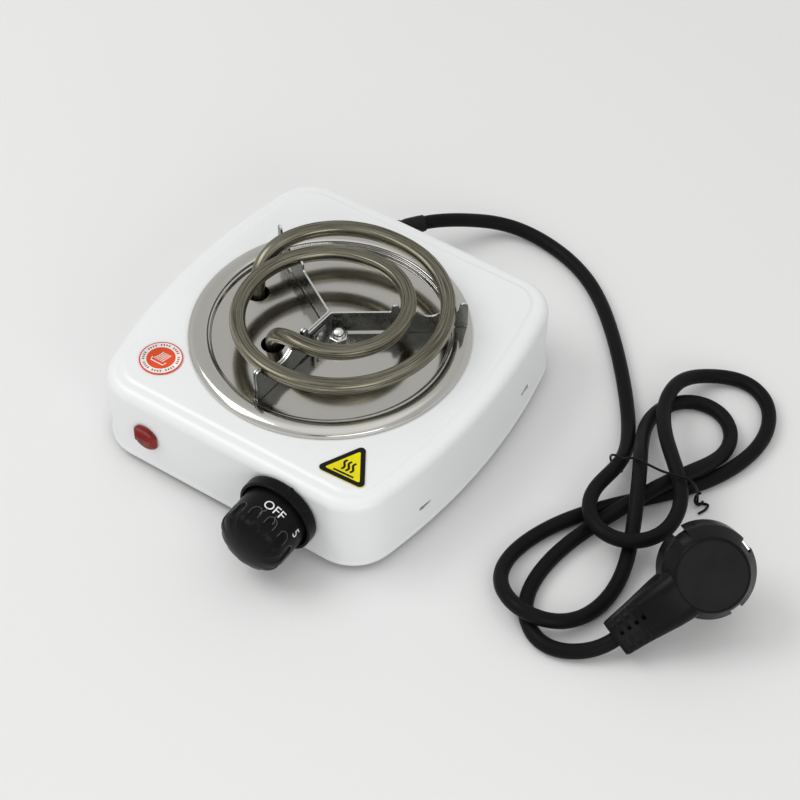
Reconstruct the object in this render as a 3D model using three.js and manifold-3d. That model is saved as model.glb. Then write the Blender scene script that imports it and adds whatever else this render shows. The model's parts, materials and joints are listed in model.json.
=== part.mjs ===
// A single-coil electric hot plate with its mains lead, in millimetres, +Z up, front (knob side) at -Y.
// The origin is on the surface that the appliance stands on, under the middle of the appliance itself.
import * as THREE from "three";
import { NURBSCurve } from "three/addons/curves/NURBSCurve.js";
import { mergeVertices } from "three/addons/utils/BufferGeometryUtils.js";
import Module from "manifold-3d";

const wasm = await Module();
wasm.setup();

// ---------------------------------------------------------------- driving dimensions

const GAP = 0.3; // between pieces that touch
const FOOT = 4; // lower edge of the housing above the surface

const WIDTH = 159; // housing, across the middle of its bulging sides
const DEPTH = 158; // housing, front wall to back wall
const HEIGHT = 39; // housing, lower edge to the raised top
const SHEET = 1; // thickness of the housing, the base plate and the drip pan
const SIDE_BULGE = 11; // how far each side bows out between its corners
const CORNER = 20.5; // corner radius of the outline
const TOP_EDGE = 5; // radius between the walls and the top
const SHOULDER = 7; // width from the wall to the raised top
const RISE = 0.8; // height of the raised top above the shoulder
const HEM = 0.5; // how far the lower edge stands out
const PAN_HOLE = 57; // radius of the opening in the housing's top

const PAN_RIM = 62.5; // radius of the drip pan
const PAN_FLOOR = 39.3; // top of the pan's floor above the housing's lower edge
const PAN_FLOOR_EDGE = 52.2; // radius of the pan's floor
const PAN_TOP = 42.6; // top of the pan's rolled rim

const TUBE = 3.5; // radius of the heating tube
const COIL_LEVEL = 54; // centre of the heating tube above the housing's lower edge
const COIL_INNER = { x: -16.5, y: -20 }; // where the inner end passes the pan
const COIL_OUTER = { x: -40.8, y: 1.5 }; // where the outer end passes the pan
const COIL_SEALED_END = 25; // lowest point of the heating tube

const STRIP = 0.9; // thickness of the coil support strips
const STRIP_TOP = 52;
const STRIP_BOTTOM = 40.7;
const ARM_RIGHT = 35; // directions of the three support arms, degrees from +X
const ARM_LEFT = 149;
const ARM_FRONT = -93;

const KNOB_X = 31;
const KNOB_Z = 19.6; // above the housing's lower edge
const BEZEL_RADIUS = 18;
const BEZEL_DEPTH = 6.6;
const KNOB_RADIUS = 15.4;
const KNOB_GRIP = 14.4; // straight length of the knob in front of the bezel
const KNOB_DOME = 8;

const LENS_X = -42.2;
const LENS_Z = 17.4;
const LENS_RADIUS = 6.7;

const CORD_RADIUS = 3.3;
const CORD_X = -27;
const CORD_Z = 14; // above the housing's lower edge
const RELIEF_LENGTH = 26; // tapered strain relief outside the back wall
const RELIEF_BEND = 40; // radius of its bend towards the right

const PLUG_RADIUS = 19.8;
const PLUG_THICKNESS = 24;
const PLUG_NECK = 46.5; // end of the neck from the middle of the plug's face
const PIN_RADIUS = 2.4;
const PIN_LENGTH = 19;
const PIN_SPACING = 19;

const FRONT = -DEPTH / 2;
const BACK = DEPTH / 2;
const KNOB_REACH = BEZEL_DEPTH + KNOB_GRIP + KNOB_DOME;
const CENTRE_Y = (KNOB_REACH - HEM) / 2; // moves the appliance so that knob tip and back wall are symmetric

// ---------------------------------------------------------------- materials

const finish = (color, roughness, metalness) =>
  new THREE.MeshStandardMaterial({ color, roughness, metalness });

const enamel = finish(0xf1f4f4, 0.25, 0);
const steel = finish(0xb9bab6, 0.35, 1);
const polishedSteel = finish(0xd4d4ce, 0.12, 1);
const sheathSteel = finish(0x7d776a, 0.42, 1);
const blackPlastic = finish(0x141414, 0.4, 0);
const blackRubber = finish(0x1a1a1a, 0.75, 0);
const ceramic = finish(0xe8e2d2, 0.7, 0);
const brass = finish(0xc9a24a, 0.35, 1);
const redLens = finish(0xb01808, 0.15, 0);
const glass = finish(0xd9e4e6, 0.1, 0);
const yellowFilm = finish(0xf2cf1d, 0.45, 0);
const orangeFilm = finish(0xe2532d, 0.45, 0);
const brownWire = finish(0x5d3420, 0.6, 0);
const blueWire = finish(0x2456a8, 0.6, 0);
const earthWire = finish(0x6e9b2f, 0.6, 0);
const whiteSleeve = finish(0xe7e3d6, 0.85, 0);

// ---------------------------------------------------------------- geometry helpers

const radians = THREE.MathUtils.degToRad;

// Turns a geometry's faces round if they point inwards.
function outward(geometry) {
  const soup = geometry.index ? geometry.toNonIndexed() : geometry;
  const p = soup.attributes.position;
  const [a, b, c] = [new THREE.Vector3(), new THREE.Vector3(), new THREE.Vector3()];
  let volume = 0;
  for (let i = 0; i < p.count; i += 3) {
    a.fromBufferAttribute(p, i);
    b.fromBufferAttribute(p, i + 1);
    c.fromBufferAttribute(p, i + 2);
    volume += a.dot(b.cross(c));
  }
  if (volume >= 0) return soup;
  for (let i = 0; i < p.count; i += 3) {
    a.fromBufferAttribute(p, i + 1);
    b.fromBufferAttribute(p, i + 2);
    p.setXYZ(i + 1, b.x, b.y, b.z);
    p.setXYZ(i + 2, a.x, a.y, a.z);
  }
  return soup;
}

// A geometry as a solid that can be cut and joined.
function solid(geometry) {
  const bare = outward(geometry.clone());
  bare.deleteAttribute("normal");
  bare.deleteAttribute("uv");
  const merged = mergeVertices(bare, 1e-4);
  return new wasm.Manifold(
    new wasm.Mesh({
      numProp: 3,
      vertProperties: merged.attributes.position.array,
      triVerts: new Uint32Array(merged.index.array),
    }),
  );
}

// A solid as a geometry with flat faces.
function geometryOf(body) {
  const { vertProperties, triVerts, numProp } = body.getMesh();
  const positions = new Float32Array(triVerts.length * 3);
  triVerts.forEach((v, i) => positions.set(vertProperties.subarray(v * numProp, v * numProp + 3), i * 3));
  const geometry = new THREE.BufferGeometry();
  geometry.setAttribute("position", new THREE.BufferAttribute(positions, 3));
  geometry.computeVertexNormals();
  return geometry;
}

const join = (...shapes) => geometryOf(shapes.map(solid).reduce((all, one) => all.add(one)));
const cut = (shape, ...tools) =>
  geometryOf(tools.map(solid).reduce((rest, tool) => rest.subtract(tool), solid(shape)));

// A box from its lowest corner to its highest.
function box(x0, y0, z0, x1, y1, z1) {
  const geometry = new THREE.BoxGeometry(x1 - x0, y1 - y0, z1 - z0);
  return geometry.translate((x0 + x1) / 2, (y0 + y1) / 2, (z0 + z1) / 2);
}

// A solid of revolution about the Z axis from [radius, z] points.
function turned(profile, sides = 24) {
  const points = profile.map(([r, z]) => new THREE.Vector2(r, z));
  return new THREE.LatheGeometry(points, sides).rotateX(Math.PI / 2);
}

// A profile that closes on itself, for a piece with a hole through it.
const ring = (profile, sides) => turned([...profile, profile[0]], sides);

const rod = (radius, z0, z1, sides = 16) => turned([[0, z0], [radius, z0], [radius, z1], [0, z1]], sides);
const tube = (inner, outer, z0, z1, sides = 20) =>
  ring([[inner, z0], [outer, z0], [outer, z1], [inner, z1]], sides);

// Turns a piece made along +Z to point along +Y (its own +Y then points down).
const alongY = (geometry) => geometry.rotateX(-Math.PI / 2);
const alongX = (geometry) => geometry.rotateY(Math.PI / 2);

// A flat plate: an outline in X and Y with holes, from z0 up to z1. Repeated points are dropped.
function plate(outline, holes, z0, z1) {
  const shape = new THREE.Shape(outline.filter((p, i) => p.distanceTo(outline.at(i - 1)) > 0.01));
  shape.holes = holes.map((hole) => new THREE.Path(hole));
  return new THREE.ExtrudeGeometry(shape, { depth: z1 - z0, bevelEnabled: false }).translate(0, 0, z0);
}

function circle(radius, x = 0, y = 0, sides = 20) {
  return Array.from({ length: sides }, (_, i) => {
    const t = (2 * Math.PI * i) / sides;
    return new THREE.Vector2(x + radius * Math.cos(t), y + radius * Math.sin(t));
  });
}

// A slot with round ends, long in X.
function slot(x, y, length, width) {
  const path = new THREE.Shape();
  const half = (length - width) / 2;
  path.absarc(x + half, y, width / 2, -Math.PI / 2, Math.PI / 2);
  path.absarc(x - half, y, width / 2, Math.PI / 2, (3 * Math.PI) / 2);
  return path.getPoints(4);
}

// A round bar along a smooth curve.
function sweep(points, radius, sides, steps) {
  const smooth = () => new THREE.CatmullRomCurve3(points, false, "centripetal");
  const path = points instanceof THREE.Curve ? points : smooth();
  const section = new THREE.Shape(circle(radius, 0, 0, sides));
  return new THREE.ExtrudeGeometry(section, { steps, extrudePath: path, bevelEnabled: false });
}

// Skins rings that have the same number of points. The last ring meets the first, or both are capped.
function loft(rings, closed) {
  const n = rings[0].length;
  const positions = [];
  const push = (...corners) => corners.forEach((v) => positions.push(v.x, v.y, v.z));
  const spans = closed ? rings.length : rings.length - 1;
  for (let k = 0; k < spans; k++) {
    const low = rings[k];
    const high = rings[(k + 1) % rings.length];
    for (let i = 0; i < n; i++) {
      const j = (i + 1) % n;
      push(low[i], low[j], high[j]);
      push(low[i], high[j], high[i]);
    }
  }
  if (!closed) {
    for (let i = 1; i < n - 1; i++) {
      push(rings[0][0], rings[0][i + 1], rings[0][i]);
      push(rings.at(-1)[0], rings.at(-1)[i], rings.at(-1)[i + 1]);
    }
  }
  const geometry = new THREE.BufferGeometry();
  geometry.setAttribute("position", new THREE.Float32BufferAttribute(positions, 3));
  return geometry;
}

const at = (flat, z) => flat.map((p) => new THREE.Vector3(p.x, p.y, z));

// ---------------------------------------------------------------- outline of the housing

const sideRadius = ((DEPTH / 2) ** 2 + SIDE_BULGE ** 2) / (2 * SIDE_BULGE);
const sideCentre = WIDTH / 2 - sideRadius;
const cornerY = DEPTH / 2 - CORNER;
const cornerX = sideCentre + Math.sqrt((sideRadius - CORNER) ** 2 - cornerY ** 2);
const cornerTurn = Math.atan2(cornerY, cornerX - sideCentre); // where the corner runs into the side

// The outline moved in by a distance: straight front and back, bowed sides, round corners.
function outline(inset) {
  const quarter = [];
  for (let i = 0; i <= 5; i++) {
    const t = (i / 5) * cornerTurn;
    const r = sideRadius - inset;
    quarter.push(new THREE.Vector2(sideCentre + r * Math.cos(t), r * Math.sin(t)));
  }
  for (let i = 1; i <= 5; i++) {
    const t = THREE.MathUtils.lerp(cornerTurn, Math.PI / 2, i / 5);
    const r = CORNER - inset;
    quarter.push(new THREE.Vector2(cornerX + r * Math.cos(t), cornerY + r * Math.sin(t)));
  }
  for (let i = 1; i <= 4; i++) quarter.push(new THREE.Vector2(cornerX * (1 - i / 4), DEPTH / 2 - inset));
  const mirror = (points, sx, sy) => points.map((p) => new THREE.Vector2(p.x * sx, p.y * sy));
  const half = [...quarter, ...mirror(quarter, -1, 1).reverse().slice(1)];
  return [...half, ...mirror(half, 1, -1).reverse().slice(1, -1)];
}

// A circle with one point in the direction of each point of the outline.
const facing = (radius) =>
  outline(SHOULDER).map((p) => p.clone().setLength(radius));

// ---------------------------------------------------------------- scene graph

const group = new THREE.Group();
group.name = "hot_plate_burner";
const appliance = new THREE.Group(); // origin on the pan's axis, level with the housing's lower edge
appliance.position.set(0, CENTRE_Y, FOOT);
group.add(appliance);

function piece(parent, name, geometry, material) {
  const mesh = new THREE.Mesh(outward(geometry), material);
  mesh.name = name;
  parent.add(mesh);
  return mesh;
}

const add = (name, geometry, material) => piece(appliance, name, geometry, material);

// ---------------------------------------------------------------- housing

const SIDE_SLOT_Y = 40; // the base plate's hooks, front and back of the middle
const SIDE_SLOT_Z = 12.5;

function sideX(y, inset = 0) {
  return sideCentre + Math.sqrt((sideRadius - inset) ** 2 - y ** 2);
}

function housing() {
  const shoulderTop = HEIGHT - RISE;
  const edge = (radius, inset0, spans) =>
    Array.from({ length: spans + 1 }, (_, i) => {
      const t = (i / spans) * (Math.PI / 2);
      return at(
        outline(inset0 + radius * (1 - Math.cos(t))),
        shoulderTop - inset0 - radius * (1 - Math.sin(t)),
      );
    });
  const shell = loft(
    [
      at(outline(-HEM), 0),
      at(outline(-HEM), 1.6),
      at(outline(0), 2.1),
      ...edge(TOP_EDGE, 0, 3),
      at(outline(SHOULDER), shoulderTop),
      at(outline(SHOULDER + 1), HEIGHT),
      at(facing(PAN_HOLE), HEIGHT),
      at(facing(PAN_HOLE), HEIGHT - SHEET),
      at(outline(SHOULDER + 1.4), HEIGHT - SHEET),
      at(outline(SHOULDER + 0.4), shoulderTop - SHEET),
      ...edge(TOP_EDGE - SHEET, SHEET, 2).reverse(),
      at(outline(SHEET), 0),
    ],
    true,
  );
  const frontHole = (x, z, radius) =>
    alongY(rod(radius, -3, 3)).translate(x, FRONT + SHEET / 2, z);
  const slots = [1, -1].flatMap((side) =>
    [1, -1].map((end) =>
      box(-15, -3.5, -0.9, 15, 3.5, 0.9).translate(side * 75, end * SIDE_SLOT_Y, SIDE_SLOT_Z),
    ),
  );
  return cut(
    shell,
    frontHole(KNOB_X, KNOB_Z, 5),
    frontHole(KNOB_X - 11, KNOB_Z, 1.8),
    frontHole(KNOB_X + 11, KNOB_Z, 1.8),
    frontHole(LENS_X, LENS_Z, 5.2),
    alongY(rod(5.6, -3, 3)).translate(CORD_X, BACK - SHEET / 2, CORD_Z),
    ...slots,
  );
}

add("top_housing", housing(), enamel);

const BASE_Z = 1; // underside of the base plate above the housing's lower edge
const BASE_INSET = SHEET + GAP;
const FLANGE = 8;
const FOOT_X = 55;
const FOOT_Y = 56;
const HUB_BOLT = { x: 7.2, y: -4 }; // beside the support strips' bend
const feet = [
  ["foot_front_left", -FOOT_X, -FOOT_Y],
  ["foot_front_right", FOOT_X, -FOOT_Y],
  ["foot_back_left", -FOOT_X, FOOT_Y],
  ["foot_back_right", FOOT_X, FOOT_Y],
];
const CLAMP = { x: CORD_X, y: 58, spread: 8.5 }; // cord clamp screws, either side of the lead
const EARTH = { x: -54, y: 30 };

function basePlate() {
  const vents = [-1, 1].flatMap((side) =>
    [22, 29, 36].map((y) => slot(0, side * y, 34, 3)),
  );
  const holes = [
    circle(2.3, HUB_BOLT.x, HUB_BOLT.y),
    circle(1.7, EARTH.x, EARTH.y, 12),
    ...feet.map(([, x, y]) => circle(3.3, x, y, 16)),
    ...[-1, 1].map((side) => circle(1.7, CLAMP.x + side * CLAMP.spread, CLAMP.y, 12)),
    ...vents,
  ];
  const sheet = plate(outline(BASE_INSET), holes, BASE_Z, BASE_Z + SHEET);
  const flange = plate(outline(BASE_INSET), [outline(BASE_INSET + SHEET)], BASE_Z, BASE_Z + FLANGE);
  const hooks = [1, -1].flatMap((side) =>
    [1, -1].map((end) => {
      const hook = join(
        box(-2.7, -2.3, FLANGE - 2, -1.7, 2.3, SIDE_SLOT_Z + 0.5),
        box(-2.7, -2.3, SIDE_SLOT_Z - 0.5, 0.2, 2.3, SIDE_SLOT_Z + 0.5),
      );
      const turn = side > 0 ? 0 : Math.PI;
      return hook.rotateZ(turn).translate(side * sideX(SIDE_SLOT_Y), end * SIDE_SLOT_Y, 0);
    }),
  );
  const leadNotch = box(CORD_X - 9, BACK - 5, CORD_Z - 8, CORD_X + 9, BACK, CORD_Z);
  return join(sheet, cut(flange, leadNotch), ...hooks);
}

add("base_plate", basePlate(), steel);

// Push-in rubber foot: a pad, a neck through the plate and a barb above it.
const footProfile = [
  [0, -FOOT], [5.8, -FOOT], [6.5, -FOOT + 0.8], [7, BASE_Z - 1.2], [7, BASE_Z - GAP],
  [2.9, BASE_Z - GAP], [2.9, BASE_Z + SHEET + GAP], [4.4, BASE_Z + SHEET + GAP], [2.4, BASE_Z + 6],
  [0, BASE_Z + 6],
];
feet.forEach(([name, x, y]) => add(name, turned(footProfile, 16).translate(x, y, 0), blackRubber));

// ---------------------------------------------------------------- drip pan

const TUBE_HOLE = 5.4;
function dripPan() {
  const skin = [
    [PAN_RIM, HEIGHT + GAP], [62.2, HEIGHT + 1.8], [60.4, PAN_TOP - 0.4], [57.5, PAN_TOP],
    [55, PAN_TOP - 0.1], [53.9, PAN_TOP - 0.4], [53.6, PAN_FLOOR + 1.9], [52.6, PAN_FLOOR + 1.6],
    [PAN_FLOOR_EDGE, PAN_FLOOR], [0, PAN_FLOOR], [0, PAN_FLOOR - SHEET], [53, PAN_FLOOR - SHEET],
    [53.4, PAN_FLOOR + 0.6], [54.5, PAN_FLOOR + 0.9], [54.9, PAN_TOP - 1.2], [57.5, PAN_TOP - SHEET],
    [59.9, PAN_TOP - 1.6], [61.3, HEIGHT + GAP],
  ];
  const tubeHoles = [COIL_INNER, COIL_OUTER].map(({ x, y }) => rod(TUBE_HOLE, 30, 45, 24).translate(x, y, 0));
  return cut(ring(skin, 40), rod(2.4, 30, 45).translate(HUB_BOLT.x, HUB_BOLT.y, 0), ...tubeHoles);
}

add("drip_pan", dripPan(), polishedSteel);

// ---------------------------------------------------------------- heating coil

// The spiral is made of half turns whose centres step back and forth, so that each runs into the next.
const halfTurns = [
  { x: 2, y: 5.5, r: 29.5, from: -90, to: 90 },
  { x: 2, y: -4.2, r: 39.2, from: 90, to: 270 },
  { x: 2.5, y: 3.9, r: 47.3, from: 270, to: 450 },
];

function coilPath() {
  const points = [
    new THREE.Vector3(COIL_INNER.x, COIL_INNER.y, COIL_SEALED_END),
    new THREE.Vector3(COIL_INNER.x, COIL_INNER.y, 35),
    new THREE.Vector3(COIL_INNER.x + 0.5, COIL_INNER.y - 0.3, 42),
    new THREE.Vector3(COIL_INNER.x + 4.2, COIL_INNER.y - 1.8, 48.6),
    new THREE.Vector3(COIL_INNER.x + 11, COIL_INNER.y - 3.3, COIL_LEVEL - 1.4),
  ];
  halfTurns.forEach(({ x, y, r, from, to }, k) => {
    for (let a = from + (k ? 18 : 0); a <= to; a += 18) {
      const t = radians(a);
      points.push(new THREE.Vector3(x + r * Math.cos(t), y + r * Math.sin(t), COIL_LEVEL));
    }
  });
  points.push(
    new THREE.Vector3(-13, 49.3, COIL_LEVEL),
    new THREE.Vector3(-27, 42.5, COIL_LEVEL),
    new THREE.Vector3(-37.5, 31, COIL_LEVEL),
    new THREE.Vector3(-42.6, 18, COIL_LEVEL - 0.8),
    new THREE.Vector3(-43.4, 8, COIL_LEVEL - 5.5),
    new THREE.Vector3(-41.7, 2.8, COIL_LEVEL - 12.5),
    new THREE.Vector3(COIL_OUTER.x, COIL_OUTER.y, 34),
    new THREE.Vector3(COIL_OUTER.x, COIL_OUTER.y, COIL_SEALED_END),
  );
  return new THREE.CatmullRomCurve3(points, false, "centripetal");
}

const coil = coilPath();
add("heating_coil", sweep(coil, TUBE, 8, 84), sheathSteel);

const coilEnds = [
  ["inner", COIL_INNER],
  ["outer", COIL_OUTER],
];
const SEAL_Z = COIL_SEALED_END - GAP;
const sealProfile = [[0, SEAL_Z - 4], [2.4, SEAL_Z - 4], [3.1, SEAL_Z - 3], [3.1, SEAL_Z], [0, SEAL_Z]];
coilEnds.forEach(([end, { x, y }]) => {
  add(`coil_seal_${end}`, turned(sealProfile, 16).translate(x, y, 0), ceramic);
  add(`coil_pin_${end}`, rod(1.2, 12, SEAL_Z - 4 - GAP, 10).translate(x, y, 0), steel);
});

// ---------------------------------------------------------------- coil support

// The places along a direction from the pan's axis, as distance and height, at which the coil passes over it.
function crossings(degrees) {
  const along = new THREE.Vector3(Math.cos(radians(degrees)), Math.sin(radians(degrees)), 0);
  const across = new THREE.Vector3(-along.y, along.x, 0);
  const samples = coil.getPoints(2000);
  const found = [];
  for (let i = 1; i < samples.length; i++) {
    const [p, q] = [samples[i - 1], samples[i]];
    const level = p.z > COIL_LEVEL - 4;
    const passes = p.dot(along) > 0 && p.dot(across) * q.dot(across) <= 0;
    if (level && passes) found.push({ r: p.dot(along), z: p.z });
  }
  return found.sort((a, b) => a.r - b.r);
}

// The side view of one arm: a slim bar from the hub, a horn, two saddles and a tab outside the last turn.
const STRIP_LOW = PAN_FLOOR + GAP;
function armProfile(degrees) {
  const [inner, outer] = crossings(degrees);
  const saddle = TUBE + 0.7;
  const lip = radians(32); // how far below its centre level the saddle's open side ends
  const tab = outer.r + saddle + 0.2;
  const overRim = tab + 3.6 > PAN_FLOOR_EDGE;
  const rest = overRim ? PAN_TOP + GAP : STRIP_LOW; // the tab stands on the rim or on the floor
  const shape = new THREE.Shape();
  shape.moveTo(0, STRIP_BOTTOM);
  shape.lineTo(inner.r - 3, STRIP_BOTTOM);
  shape.quadraticCurveTo(inner.r, STRIP_LOW, inner.r + 2, STRIP_LOW);
  shape.lineTo(outer.r - 7, STRIP_LOW);
  shape.quadraticCurveTo(outer.r - 5, STRIP_LOW, outer.r - 4, rest);
  shape.lineTo(tab + 3.6, rest);
  shape.lineTo(tab + 3.6, COIL_LEVEL + 1);
  shape.absarc(tab + 1.8, COIL_LEVEL + 1, 1.8, 0, Math.PI);
  shape.lineTo(tab, outer.z);
  shape.absarc(outer.r, outer.z, saddle, 0, lip - Math.PI, true);
  const open = { r: inner.r + saddle * Math.cos(lip), z: inner.z - saddle * Math.sin(lip) };
  shape.quadraticCurveTo((inner.r + outer.r) / 2, STRIP_TOP - 5.5, open.r, open.z);
  shape.absarc(inner.r, inner.z, saddle, -lip, -Math.PI, true);
  shape.lineTo(inner.r - saddle - 0.2, COIL_LEVEL + 0.4);
  shape.absarc(inner.r - saddle - 1.8, COIL_LEVEL + 0.4, 1.6, 0, Math.PI);
  shape.lineTo(inner.r - saddle - 3.4, STRIP_TOP);
  shape.lineTo(0, STRIP_TOP);
  return shape;
}

const LUG_RADIUS = 10; // the rivet's distance from the hub
const LUG_Z = 46.5;
const frontAxis = new THREE.Vector2(Math.cos(radians(ARM_FRONT)), Math.sin(radians(ARM_FRONT)));
const frontSide = new THREE.Vector2(-frontAxis.y, frontAxis.x); // to the right of the front arm
const halfPair = (STRIP + GAP) / 2;

function arm(degrees, start) {
  return plate(armProfile(degrees).getPoints(5), [], -STRIP / 2, STRIP / 2)
    .rotateX(Math.PI / 2)
    .rotateZ(radians(degrees))
    .translate(start.x, start.y, 0);
}

const rivetHole = () =>
  alongX(rod(1.6, -10, 10, 12))
    .rotateZ(radians(ARM_FRONT + 90))
    .translate(frontAxis.x * LUG_RADIUS, frontAxis.y * LUG_RADIUS, LUG_Z);

// Each strip is one sheet, bent at the hub: half of the front arm and one of the rear arms.
[
  ["support_strip_right", ARM_RIGHT, 1],
  ["support_strip_left", ARM_LEFT, -1],
].forEach(([name, rear, side]) => {
  const start = frontSide.clone().multiplyScalar(side * halfPair);
  const bend = rod(STRIP / 2, STRIP_BOTTOM, STRIP_TOP, 12).translate(start.x, start.y, 0);
  const sheet = join(arm(ARM_FRONT, start), arm(rear, start), bend);
  add(name, cut(sheet, rivetHole()), steel);
});

// Folded clip: a foot under the hub nut and two lugs riveted to the front arm. Here +X runs along that arm.
function hubClip() {
  const inner = halfPair + STRIP / 2 + GAP;
  const low = PAN_FLOOR + GAP;
  const along = frontAxis.x * HUB_BOLT.x + frontAxis.y * HUB_BOLT.y;
  const aside = frontSide.x * HUB_BOLT.x + frontSide.y * HUB_BOLT.y;
  const foot = [[-2, inner], [14, inner], [14, 4.5], [9, 12.5], [-2, 12.5]];
  const outline = foot.map(([x, y]) => new THREE.Vector2(x, y));
  const parts = [
    plate(outline, [circle(2.4, along, aside, 16)], low, low + 0.8),
    box(5.7, inner, low, 14, inner + 0.8, 49.5),
    box(5.7, -inner - 0.8, low, 14, -inner, 49.5),
    box(5.7, -inner - 0.8, low, 14, inner + 0.8, low + 0.8),
  ];
  return cut(join(...parts.map((part) => part.rotateZ(radians(ARM_FRONT)))), rivetHole());
}

add("hub_clip", hubClip(), steel);
const rivetHalf = halfPair + STRIP / 2 + GAP + 0.8 + GAP;
const rivet = turned([
  [0, -rivetHalf - 1], [1.9, -rivetHalf - 0.7], [2.6, -rivetHalf], [1.3, -rivetHalf],
  [1.3, rivetHalf], [2.6, rivetHalf], [1.9, rivetHalf + 0.7], [0, rivetHalf + 1],
], 12);
alongX(rivet)
  .rotateZ(radians(ARM_FRONT + 90))
  .translate(frontAxis.x * LUG_RADIUS, frontAxis.y * LUG_RADIUS, LUG_Z);
add("hub_rivet", rivet, steel);

const hub = (name, geometry, material) => add(name, geometry.translate(HUB_BOLT.x, HUB_BOLT.y, 0), material);
const WASHER_Z = PAN_FLOOR + GAP + 0.8 + GAP;
hub("hub_washer", tube(2.4, 4.7, WASHER_Z, WASHER_Z + 0.8), polishedSteel);
const NUT_Z = WASHER_Z + 0.8 + GAP;
const domedNut = turned([
  [0, NUT_Z], [4.4, NUT_Z], [4.4, NUT_Z + 3.4], [3.2, NUT_Z + 4], [2.9, NUT_Z + 5], [1.6, NUT_Z + 6.2],
  [0, NUT_Z + 6.6],
], 6);
hub("hub_nut", cut(domedNut, rod(2.25, NUT_Z - 1, NUT_Z + 4.6)), polishedSteel);
const boltProfile = [
  [0, BASE_Z - 2.2], [3.2, BASE_Z - 2.2], [4.3, BASE_Z - 1.3], [4.3, BASE_Z - GAP], [1.95, BASE_Z - GAP],
  [1.95, NUT_Z + 4], [0, NUT_Z + 4],
];
hub("centre_bolt", turned(boltProfile), steel);
hub("centre_spacer", tube(2.4, 4, BASE_Z + SHEET + GAP, PAN_FLOOR - SHEET - GAP), steel);

// ---------------------------------------------------------------- knob and its bezel

const knobGroup = new THREE.Group(); // +Z here points out of the front wall
knobGroup.position.set(KNOB_X, FRONT, KNOB_Z);
knobGroup.rotation.x = Math.PI / 2;
appliance.add(knobGroup);

const BEZEL_WALL = 1.6;
const INDEX_HEADING = 20; // the index bump, degrees clockwise from the top
const RECESS = 2.2; // floor of the bezel's recess, in front of the wall
function bezel() {
  const body = ring(
    [
      [4.6, GAP], [BEZEL_RADIUS - 1.2, GAP], [BEZEL_RADIUS, 1.2], [BEZEL_RADIUS, BEZEL_DEPTH - 1],
      [BEZEL_RADIUS - 0.6, BEZEL_DEPTH], [BEZEL_RADIUS - BEZEL_WALL, BEZEL_DEPTH],
      [BEZEL_RADIUS - BEZEL_WALL - 0.3, RECESS], [4.6, RECESS],
    ],
    36,
  );
  const index = rod(1.6, 1, BEZEL_DEPTH + 0.2, 12)
    .translate(0, BEZEL_RADIUS - 0.9, 0)
    .rotateZ(radians(-INDEX_HEADING));
  const screwSeats = [-11, 11].map((x) => rod(3.1, 0, 4, 16).translate(x, 0, 0));
  return cut(join(body, index), ...screwSeats);
}
piece(knobGroup, "knob_bezel", bezel(), blackPlastic);

const KNOB_BACK = RECESS + 0.8;
const SHAFT_TIP = 16;
const FLUTES = 12;
function knob() {
  const tip = BEZEL_DEPTH + KNOB_GRIP;
  const dome = [1, 2, 3, 4].map((i) => {
    const t = radians(i * 18);
    return [KNOB_RADIUS * Math.cos(t), tip + KNOB_DOME * Math.sin(t)];
  });
  const body = turned(
    [
      [0, KNOB_BACK], [KNOB_RADIUS - 0.4, KNOB_BACK], [KNOB_RADIUS, KNOB_BACK + 0.6], [KNOB_RADIUS, tip],
      ...dome, [0, tip + KNOB_DOME],
    ],
    36,
  );
  const flutes = Array.from({ length: FLUTES }, (_, i) =>
    new THREE.CylinderGeometry(1.9, 1.9, 12, 6)
      .rotateX(Math.PI / 2)
      .translate(KNOB_RADIUS + 0.9, 0, tip + 1)
      .rotateZ((2 * Math.PI * (i + 0.5)) / FLUTES),
  );
  return cut(body, rod(3.3, 0, SHAFT_TIP + GAP), ...flutes);
}
piece(knobGroup, "knob", knob(), blackPlastic);

// The shaft has a flat on its outer end and a cam at its inner end.
function shaft() {
  const bar = join(rod(3, -15, SHAFT_TIP), rod(4.4, -17, -15));
  return cut(bar, box(-5, 1.6, RECESS + 4, 5, 5, SHAFT_TIP + 1));
}
piece(knobGroup, "thermostat_shaft", shaft(), steel);

function thermostatFrame() {
  const plateZ = [-SHEET - GAP - 1.2, -SHEET - GAP];
  const sheet = box(-15, -9, plateZ[0], 15, 9, plateZ[1]);
  const legs = [-1, 1].map((side) => box(-0.6, -6, -12, 0.6, 6, plateZ[1]).translate(side * 14.4, 0, 0));
  const holes = [rod(3.4, -10, 10), ...[-11, 11].map((x) => rod(1.5, -5, 5, 12).translate(x, 0, 0))];
  return cut(join(sheet, ...legs), ...holes);
}
piece(knobGroup, "thermostat_frame", thermostatFrame(), steel);

const screwProfile = [[0, -6], [1.2, -5.4], [1.2, GAP], [2.7, GAP], [2.5, 1.2], [1.4, 1.8], [0, 1.9]];
[-11, 11].forEach((x) => {
  const screw = turned(screwProfile, 12).translate(x, 0, 0);
  piece(knobGroup, `thermostat_screw_${x > 0 ? "right" : "left"}`, screw, steel);
});
piece(
  knobGroup,
  "thermostat_stack",
  cut(
    turned([[0, -14], [7, -14], [7.6, -13.4], [7.6, -3.4], [7, -2.8], [0, -2.8]], 24),
    rod(3.3, -15, 0),
  ),
  ceramic,
);
const BLADE_Z = -17.6;
function blade(y, width, contactLow, contactHigh) {
  const strip = box(-24, y - width / 2, BLADE_Z - 0.8, 6, y + width / 2, BLADE_Z);
  return join(strip, rod(2, contactLow, contactHigh, 12).translate(-21, y, 0));
}
piece(knobGroup, "bimetal_blade", blade(8.5, 5, BLADE_Z - 1.8, BLADE_Z), brass);
piece(knobGroup, "contact_blade", blade(0, 5.2, BLADE_Z - 0.8, BLADE_Z + 1.2), brass);

// ---------------------------------------------------------------- indicator lamp

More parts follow.
